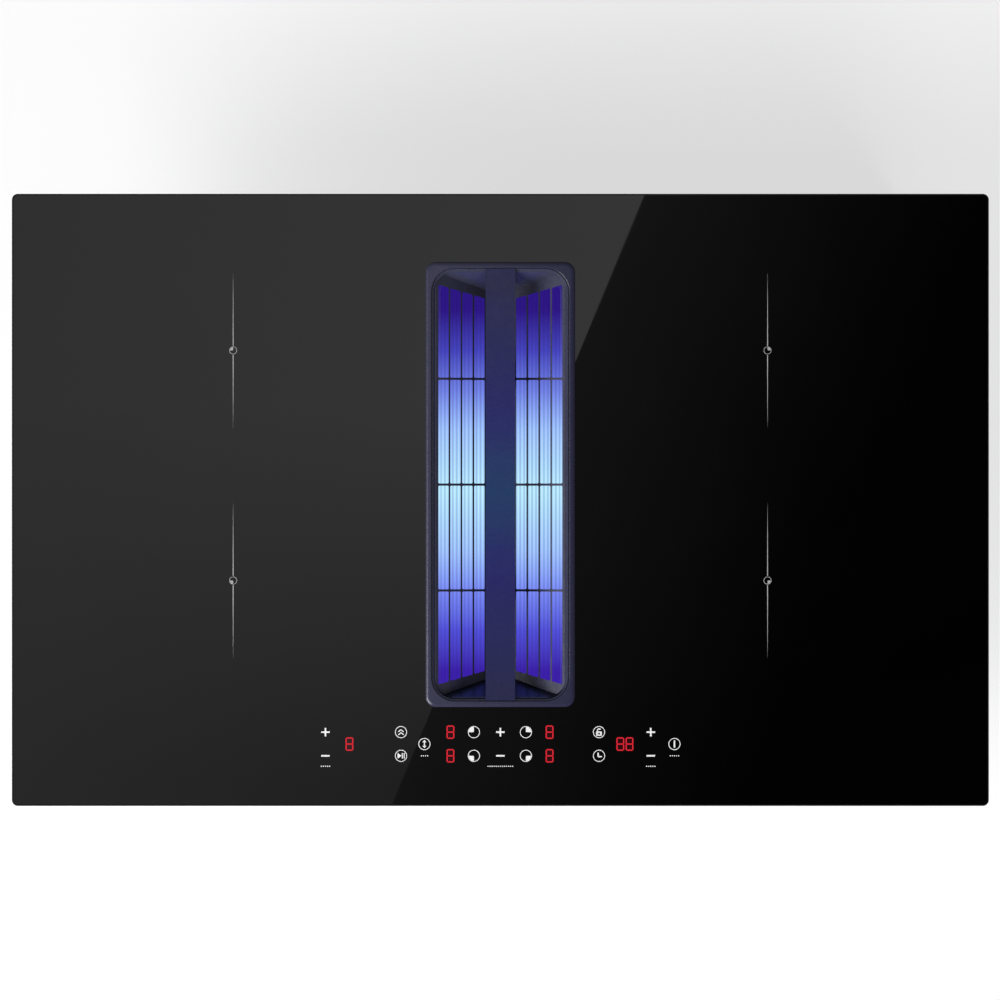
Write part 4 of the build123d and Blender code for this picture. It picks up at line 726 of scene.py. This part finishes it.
# Chamber's flange and the scroll's ears, which they hold from above.
CHAMBER_FLANGE_TOP = -101.5
CHAMBER_X, CHAMBER_Y = (150, 220), 107.1
SCROLL_TOP = -104.0
BLOWER_X = 185.0
STRAIGHT_EARS = ((146.0, 40.0), (146.0, 112.0))
# Ears round the spiral: y of their arc's centre, reach from it and angle.
SPIRAL_EARS = ((-7, 125, 245), (7, 139, 285), (7, 139, 310), (7, 139, 335))
SPIRAL_X = 7


def screw_head(mesh, x, y, seat, way):
    """Pan head with a socket, on a seat height, facing up (way 1) or down (way -1)."""
    radius, rise = SCREW_RADIUS, SCREW_RISE
    profile = (
        (radius, 0.0),
        (radius, 0.45 * rise),
        (0.88 * radius, 0.8 * rise),
        (0.62 * radius, rise),
        (0.46 * radius, rise),
        (0.4 * radius, 0.35 * rise),
    )
    rings = []
    for reach, height in profile:
        sides = arc(x, y, reach, 0, 360, 18)[:-1]
        rings.append(ring_of(mesh, sides, seat + way * height))
    for lower, upper in zip(rings, rings[1:]):
        band(mesh, lower, upper)
    mesh.faces.new(rings[-1])
    mesh.faces.new(rings[0])


def small_screws(finish):
    """Screws of the duct's flange, of the chamber's flange and of the scroll's ears."""
    mesh = bmesh.new()
    duct = [(-DUCT_SIDE_X, y) for y in DUCT_LEFT_Y] + [(DUCT_SIDE_X, y) for y in DUCT_RIGHT_Y]
    duct += [(x, side * DUCT_END_Y) for x in DUCT_END_X for side in (-1, 1)]
    for x, y in duct:
        screw_head(mesh, x, VENT_Y + y, DUCT_FLANGE_FOOT, -1)
    for x in CHAMBER_X:
        for side in (-1, 1):
            screw_head(mesh, x, side * CHAMBER_Y, CHAMBER_FLANGE_TOP, 1)
    ears = list(STRAIGHT_EARS)
    for centre_y, reach, angle in SPIRAL_EARS:
        turn = math.radians(angle)
        ears.append((SPIRAL_X + reach * math.cos(turn), centre_y + reach * math.sin(turn)))
    for x, y in ears:
        screw_head(mesh, BLOWER_X + x, y, SCROLL_TOP, 1)
    piece("small_screws", mesh, [finish], "hob", smooth=30)


# ---- print on the glass ----

PRINT_LOW = GLASS_HIGH - 0.01
PRINT_HIGH = GLASS_HIGH + 0.03


class Print:
    """Thin printed shapes gathered in one mesh."""

    def __init__(self):
        self.mesh = bmesh.new()

    def shape(self, outline):
        prism(self.mesh, outline, PRINT_LOW, PRINT_HIGH)

    def ring(self, x, y, outer, inner, steps=40):
        tube(
            self.mesh,
            arc(x, y, outer, 0, 360, steps)[:-1],
            arc(x, y, inner, 0, 360, steps)[:-1],
            PRINT_LOW,
            PRINT_HIGH,
        )

    def stroke(self, first, second, width, end_width=None):
        """Straight stroke between two points, which may taper."""
        end_width = width if end_width is None else end_width
        run = Vector(second) - Vector(first)
        side = Vector((-run.y, run.x)).normalized()
        near = side * width / 2
        far = side * end_width / 2
        start, end = Vector(first), Vector(second)
        self.shape([tuple(corner) for corner in (start - near, end - far, end + far, start + near)])

    def bar(self, x, y, width, length, corner):
        self.shape(rounded(width, length, corner, x, y, steps=4))

    def sector(self, x, y, radius, quarter):
        """Filled quarter of a disc with a rounded tip; quarter 0 is the upper right."""
        tip = 0.7
        points = arc(0, 0, radius, 0, 90, 12) + arc(tip, tip, tip, 180, 270, 4)
        turn = Matrix.Rotation(math.radians(90 * quarter), 2)
        self.shape([(x + p.x, y + p.y) for p in (turn @ Vector(point) for point in points)])

    def done(self, name, finish):
        piece(name, self.mesh, [finish], "hob")


# Middle of each zone, the rear and front rows with the quarter that a right and a left one fills.
ZONE_X = 227.0
ZONE_ROWS = ((127.0, 0, 1), (-68.5, 3, 2))
ZONE_RING = (3.3, 2.9)
ZONE_DISC = 2.7
ZONE_START = 4.0
ZONE_WAIST = 40.0
ZONE_REACH = 66.0
ZONE_LINE, WAIST_LINE, TIP_LINE = 0.75, 0.4, 0.03


def zone_markers(finish):
    """Small ring with one filled quarter and two tapering lines at the middle of each zone."""
    marks = Print()
    for side in (-1, 1):
        for y, right_quarter, left_quarter in ZONE_ROWS:
            x = side * ZONE_X
            marks.ring(x, y, *ZONE_RING, 28)
            marks.sector(x, y, ZONE_DISC, right_quarter if side > 0 else left_quarter)
            for way in (-1, 1):
                waist, tip = y + way * ZONE_WAIST, y + way * ZONE_REACH
                marks.stroke((x, y + way * ZONE_START), (x, waist), ZONE_LINE, WAIST_LINE)
                marks.stroke((x, waist), (x, tip), WAIST_LINE, TIP_LINE)
    marks.done("zone_markers", finish)


TOP_ROW = -197.3
MIDDLE_ROW = -207.4
BOTTOM_ROW = -217.4
CAPTION_ROW = -226.3
SETTING_X = (-148.6, 0.0, 127.8)
LEFT_X = -84.4
ARROW_X = -64.5
RIGHT_X = 83.8
POWER_X = 147.9
# Zone buttons of a column, with the quarters that the upper and the lower one fill.
ZONE_BUTTONS = ((-22.5, 1, 2), (21.7, 0, 3))
# Place and width of each row of dots.
CAPTIONS = (
    (SETTING_X[0], CAPTION_ROW, 9.0),
    (SETTING_X[1], CAPTION_ROW, 22.0),
    (SETTING_X[2], CAPTION_ROW, 9.0),
    (ARROW_X, BOTTOM_ROW, 6.5),
    (POWER_X, BOTTOM_ROW, 9.5),
)
BUTTON_RADIUS = 5.1
BUTTON_STROKE = 0.58


def plus_and_minus(marks, x):
    """Plus over minus with slanted ends; the plus's upright is two halves beside its flat bar."""
    slant = 0.25
    half, thick = 3.75, 0.68
    flat = [(-half, -thick), (half - slant, -thick), (half, thick), (slant - half, thick)]
    lower = [(-thick, slant - half), (thick, -half), (thick, -thick), (-thick, -thick)]
    upper = [(-thick, thick), (thick, thick), (thick, half - slant), (-thick, half)]
    for y, outline in ((TOP_ROW, flat), (BOTTOM_ROW, flat), (TOP_ROW, lower), (TOP_ROW, upper)):
        marks.shape([(x + px, y + py) for px, py in outline])


def button(marks, x, y):
    marks.ring(x, y, BUTTON_RADIUS, BUTTON_RADIUS - BUTTON_STROKE)


def boost(marks, x, y):
    """Two chevrons that point up."""
    button(marks, x, y)
    for lift in (-1.9, 0.6):
        for side in (-1, 1):
            marks.stroke((x + side * 2.3, y + lift - 0.4), (x, y + lift + 1.5), 0.85)


def play_pause(marks, x, y):
    button(marks, x, y)
    marks.shape([(x - 2.9, y - 2.5), (x + 0.3, y), (x - 2.9, y + 2.5)])
    for shift in (1.1, 2.7):
        marks.bar(x + shift, y, 0.8, 4.6, 0.2)


def double_arrow(marks, x, y):
    button(marks, x, y)
    marks.bar(x, y, 0.9, 3.6, 0.2)
    for way in (-1, 1):
        tip = [(x - 1.7, y + way * 1.5), (x + 1.7, y + way * 1.5), (x, y + way * 3.6)]
        marks.shape(tip if way > 0 else list(reversed(tip)))


def padlock(marks, x, y):
    """Open padlock with a keyhole bar."""
    button(marks, x, y)
    low = y - 3.1
    marks.bar(x, low + 0.55, 5.0, 1.1, 0.3)
    marks.bar(x, low + 3.1, 5.0, 1.2, 0.3)
    for side in (-1, 1):
        marks.bar(x + side * 1.65, low + 1.8, 1.7, 2.2, 0.2)
    outer = arc(x, y + 1.5, 1.75, 25, 180, 10)
    inner = arc(x, y + 1.5, 0.85, 180, 25, 10)
    marks.shape(outer + inner)
    marks.bar(x - 1.3, y + 1.1, 0.9, 1.4, 0.1)


def clock(marks, x, y):
    button(marks, x, y)
    marks.bar(x - 0.75, y + 1.0, 1.2, 3.6, 0.5)
    marks.bar(x + 0.75, y - 0.7, 3.4, 1.1, 0.5)


def power(marks, x, y):
    button(marks, x, y)
    marks.bar(x, y, 1.3, 6.2, 0.6)


def zone_button(marks, x, y, quarter):
    button(marks, x, y)
    marks.sector(x, y, BUTTON_RADIUS - BUTTON_STROKE / 2, quarter)


def caption_dots(marks, x, y, width):
    """Plain row of dots in the place of a caption."""
    pitch = 1.75
    count = round(width / pitch)
    for n in range(count):
        marks.bar(x + (n - (count - 1) / 2) * pitch, y, 0.95, 0.95, 0.35)


def touch_symbols(finish):
    marks = Print()
    for x in SETTING_X:
        plus_and_minus(marks, x)
    boost(marks, LEFT_X, TOP_ROW)
    play_pause(marks, LEFT_X, BOTTOM_ROW)
    double_arrow(marks, ARROW_X, MIDDLE_ROW)
    for x, top, bottom in ZONE_BUTTONS:
        zone_button(marks, x, TOP_ROW, top)
        zone_button(marks, x, BOTTOM_ROW, bottom)
    padlock(marks, RIGHT_X, TOP_ROW)
    clock(marks, RIGHT_X, BOTTOM_ROW)
    power(marks, POWER_X, MIDDLE_ROW)
    for x, y, width in CAPTIONS:
        caption_dots(marks, x, y, width)
    marks.done("touch_symbols", finish)


# ---- lit digits ----

DIGIT_WIDTH = 6.7
DIGIT_HEIGHT = 11.4
SEGMENT = 1.05
SEGMENT_GAP = 0.08
SEGMENT_RISE = 0.03
WINDOW_MARGIN = 0.25
WINDOW_CORNER = 1.3
DIGITS = (
    (-128.2, MIDDLE_ROW),
    (-42.4, TOP_ROW),
    (-42.4, BOTTOM_ROW),
    (41.8, TOP_ROW),
    (41.8, BOTTOM_ROW),
    (101.9, MIDDLE_ROW),
    (109.7, MIDDLE_ROW),
)


def segment(mesh, x, y, length, upright):
    """One pointed bar of a digit, centred on its middle."""
    half = length / 2 - SEGMENT_GAP
    thick = SEGMENT / 2
    points = [(-half, 0), (thick - half, -thick), (half - thick, -thick)]
    points += [(half, 0), (half - thick, thick), (thick - half, thick)]
    if upright:
        points = [(-py, px) for px, py in points]
    outline = [(x + px, y + py) for px, py in points]
    prism(mesh, outline, PRINT_HIGH, PRINT_HIGH + SEGMENT_RISE)


def lit_digits():
    mesh = bmesh.new()
    reach = (DIGIT_HEIGHT - SEGMENT) / 2
    side = (DIGIT_WIDTH - SEGMENT) / 2
    for x, y in DIGITS:
        for level in (-1, 0, 1):
            segment(mesh, x, y + level * reach, 2 * side, False)
        for way in (-1, 1):
            for level in (-0.5, 0.5):
                segment(mesh, x + way * side, y + level * reach, reach, True)
    piece("lit_digits", mesh, [red_segment()], "hob")


def digit_windows():
    """Window under each digit, a little larger than the digit."""
    mesh = bmesh.new()
    wide, high = DIGIT_WIDTH + 2 * WINDOW_MARGIN, DIGIT_HEIGHT + 2 * WINDOW_MARGIN
    for x, y in DIGITS:
        prism(mesh, rounded(wide, high, WINDOW_CORNER, x, y, steps=4), PRINT_LOW, PRINT_HIGH)
    piece("digit_windows", mesh, [red_window()], "hob")


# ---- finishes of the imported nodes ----

# Finishes that share a recipe, by material slot: two shades, then the recipe's own numbers.
GRAINED = {
    "black_rubber": ((24, 24, 25), (34, 34, 36), 0.8, 1500.0, 0.00005),
    "black_plastic": ((52, 53, 56), (60, 61, 65), 0.5, 1100.0, 0.00008),
    "grey_plastic": ((132, 134, 138), (146, 148, 152), 0.5, 1100.0, 0.00005),
    "capacitor_case": ((22, 30, 60), (30, 40, 76), 0.35, 600.0, 0.00002),
    "red_display": ((70, 8, 12), (84, 12, 16), 0.35, 900.0, 0.00002),
}
BRUSHED = {
    "screw_steel": ((150, 150, 154), (196, 196, 200), (1.0, 1.0, 0.1)),
    "steel_pan": ((138, 139, 142), (188, 189, 192), (0.05, 1.0, 1.0)),
    "heat_sink_metal": ((168, 170, 174), (206, 208, 212), (0.05, 1.0, 1.0)),
    "carrier_metal": ((160, 162, 166), (198, 200, 204), (1.0, 0.05, 1.0)),
}
MOTTLED = {
    "motor_case": ((140, 142, 146), (168, 170, 174), 0.4, 80.0, 1.0),
    "mica": ((150, 140, 118), (190, 182, 160), 0.45, 240.0),
    "ferrite": ((40, 40, 43), (56, 56, 60), 0.6, 300.0),
}


def dress_nodes():
    """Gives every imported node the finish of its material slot, and three nodes one of their own."""
    # The frame's metal is painted lighter toward its left side, where the key lamp stands.
    metal = cast_metal("dark_cast_metal", rgb(35, 35, 62), rgb(38, 38, 66), left=rgb(53, 53, 76))
    finishes = {
        "black_glass": black_glass(),
        "foam_tape": foam(),
        "zinc_sheet": zinc(),
        "dark_cast_metal": metal,
        "filter_metal": filter_mesh(),
        "circuit_board": circuit_board(),
        "choke_winding": litz_copper(),
        "touch_foam": foam(),
        "coil_winding": litz_copper(),
    }
    for recipe, table in ((grained, GRAINED), (brushed, BRUSHED), (mottled, MOTTLED)):
        for slot, (deep, light, *numbers) in table.items():
            finishes[slot] = recipe(slot, rgb(*deep), rgb(*light), *numbers)
    slots = {row["node"]: row["material_slot"] for row in frame["record"]["subparts"]}
    # Painted shade: the basket's faces turned to the rear are darkened.
    basket = cast_metal("louvre_metal", rgb(52, 53, 74), rgb(60, 61, 82), painted_rear_shade=rgb(4, 4, 27))
    # The centre bar's colour carries a painted spill of the intake's blue light along its middle.
    bar = cast_metal("bar_metal", rgb(30, 31, 86), rgb(33, 34, 92), BAR_PAINTED_SPILL)
    special = {"louvre_basket": basket, "centre_bar": bar, "filter_frame": filter_sheet()}
    for name, made in nodes.items():
        finish = special.get(name, finishes[slots[name]])
        if not made.material_slots:
            made.data.materials.append(finish)
        for place in made.material_slots:
            place.material = finish
    cast_frame(metal)
    small_screws(finishes["screw_steel"])


make_camera()
make_studio()
dress_nodes()
glass_plate()
zone_markers(grey_print())
touch_symbols(white_print())
lit_digits()
digit_windows()
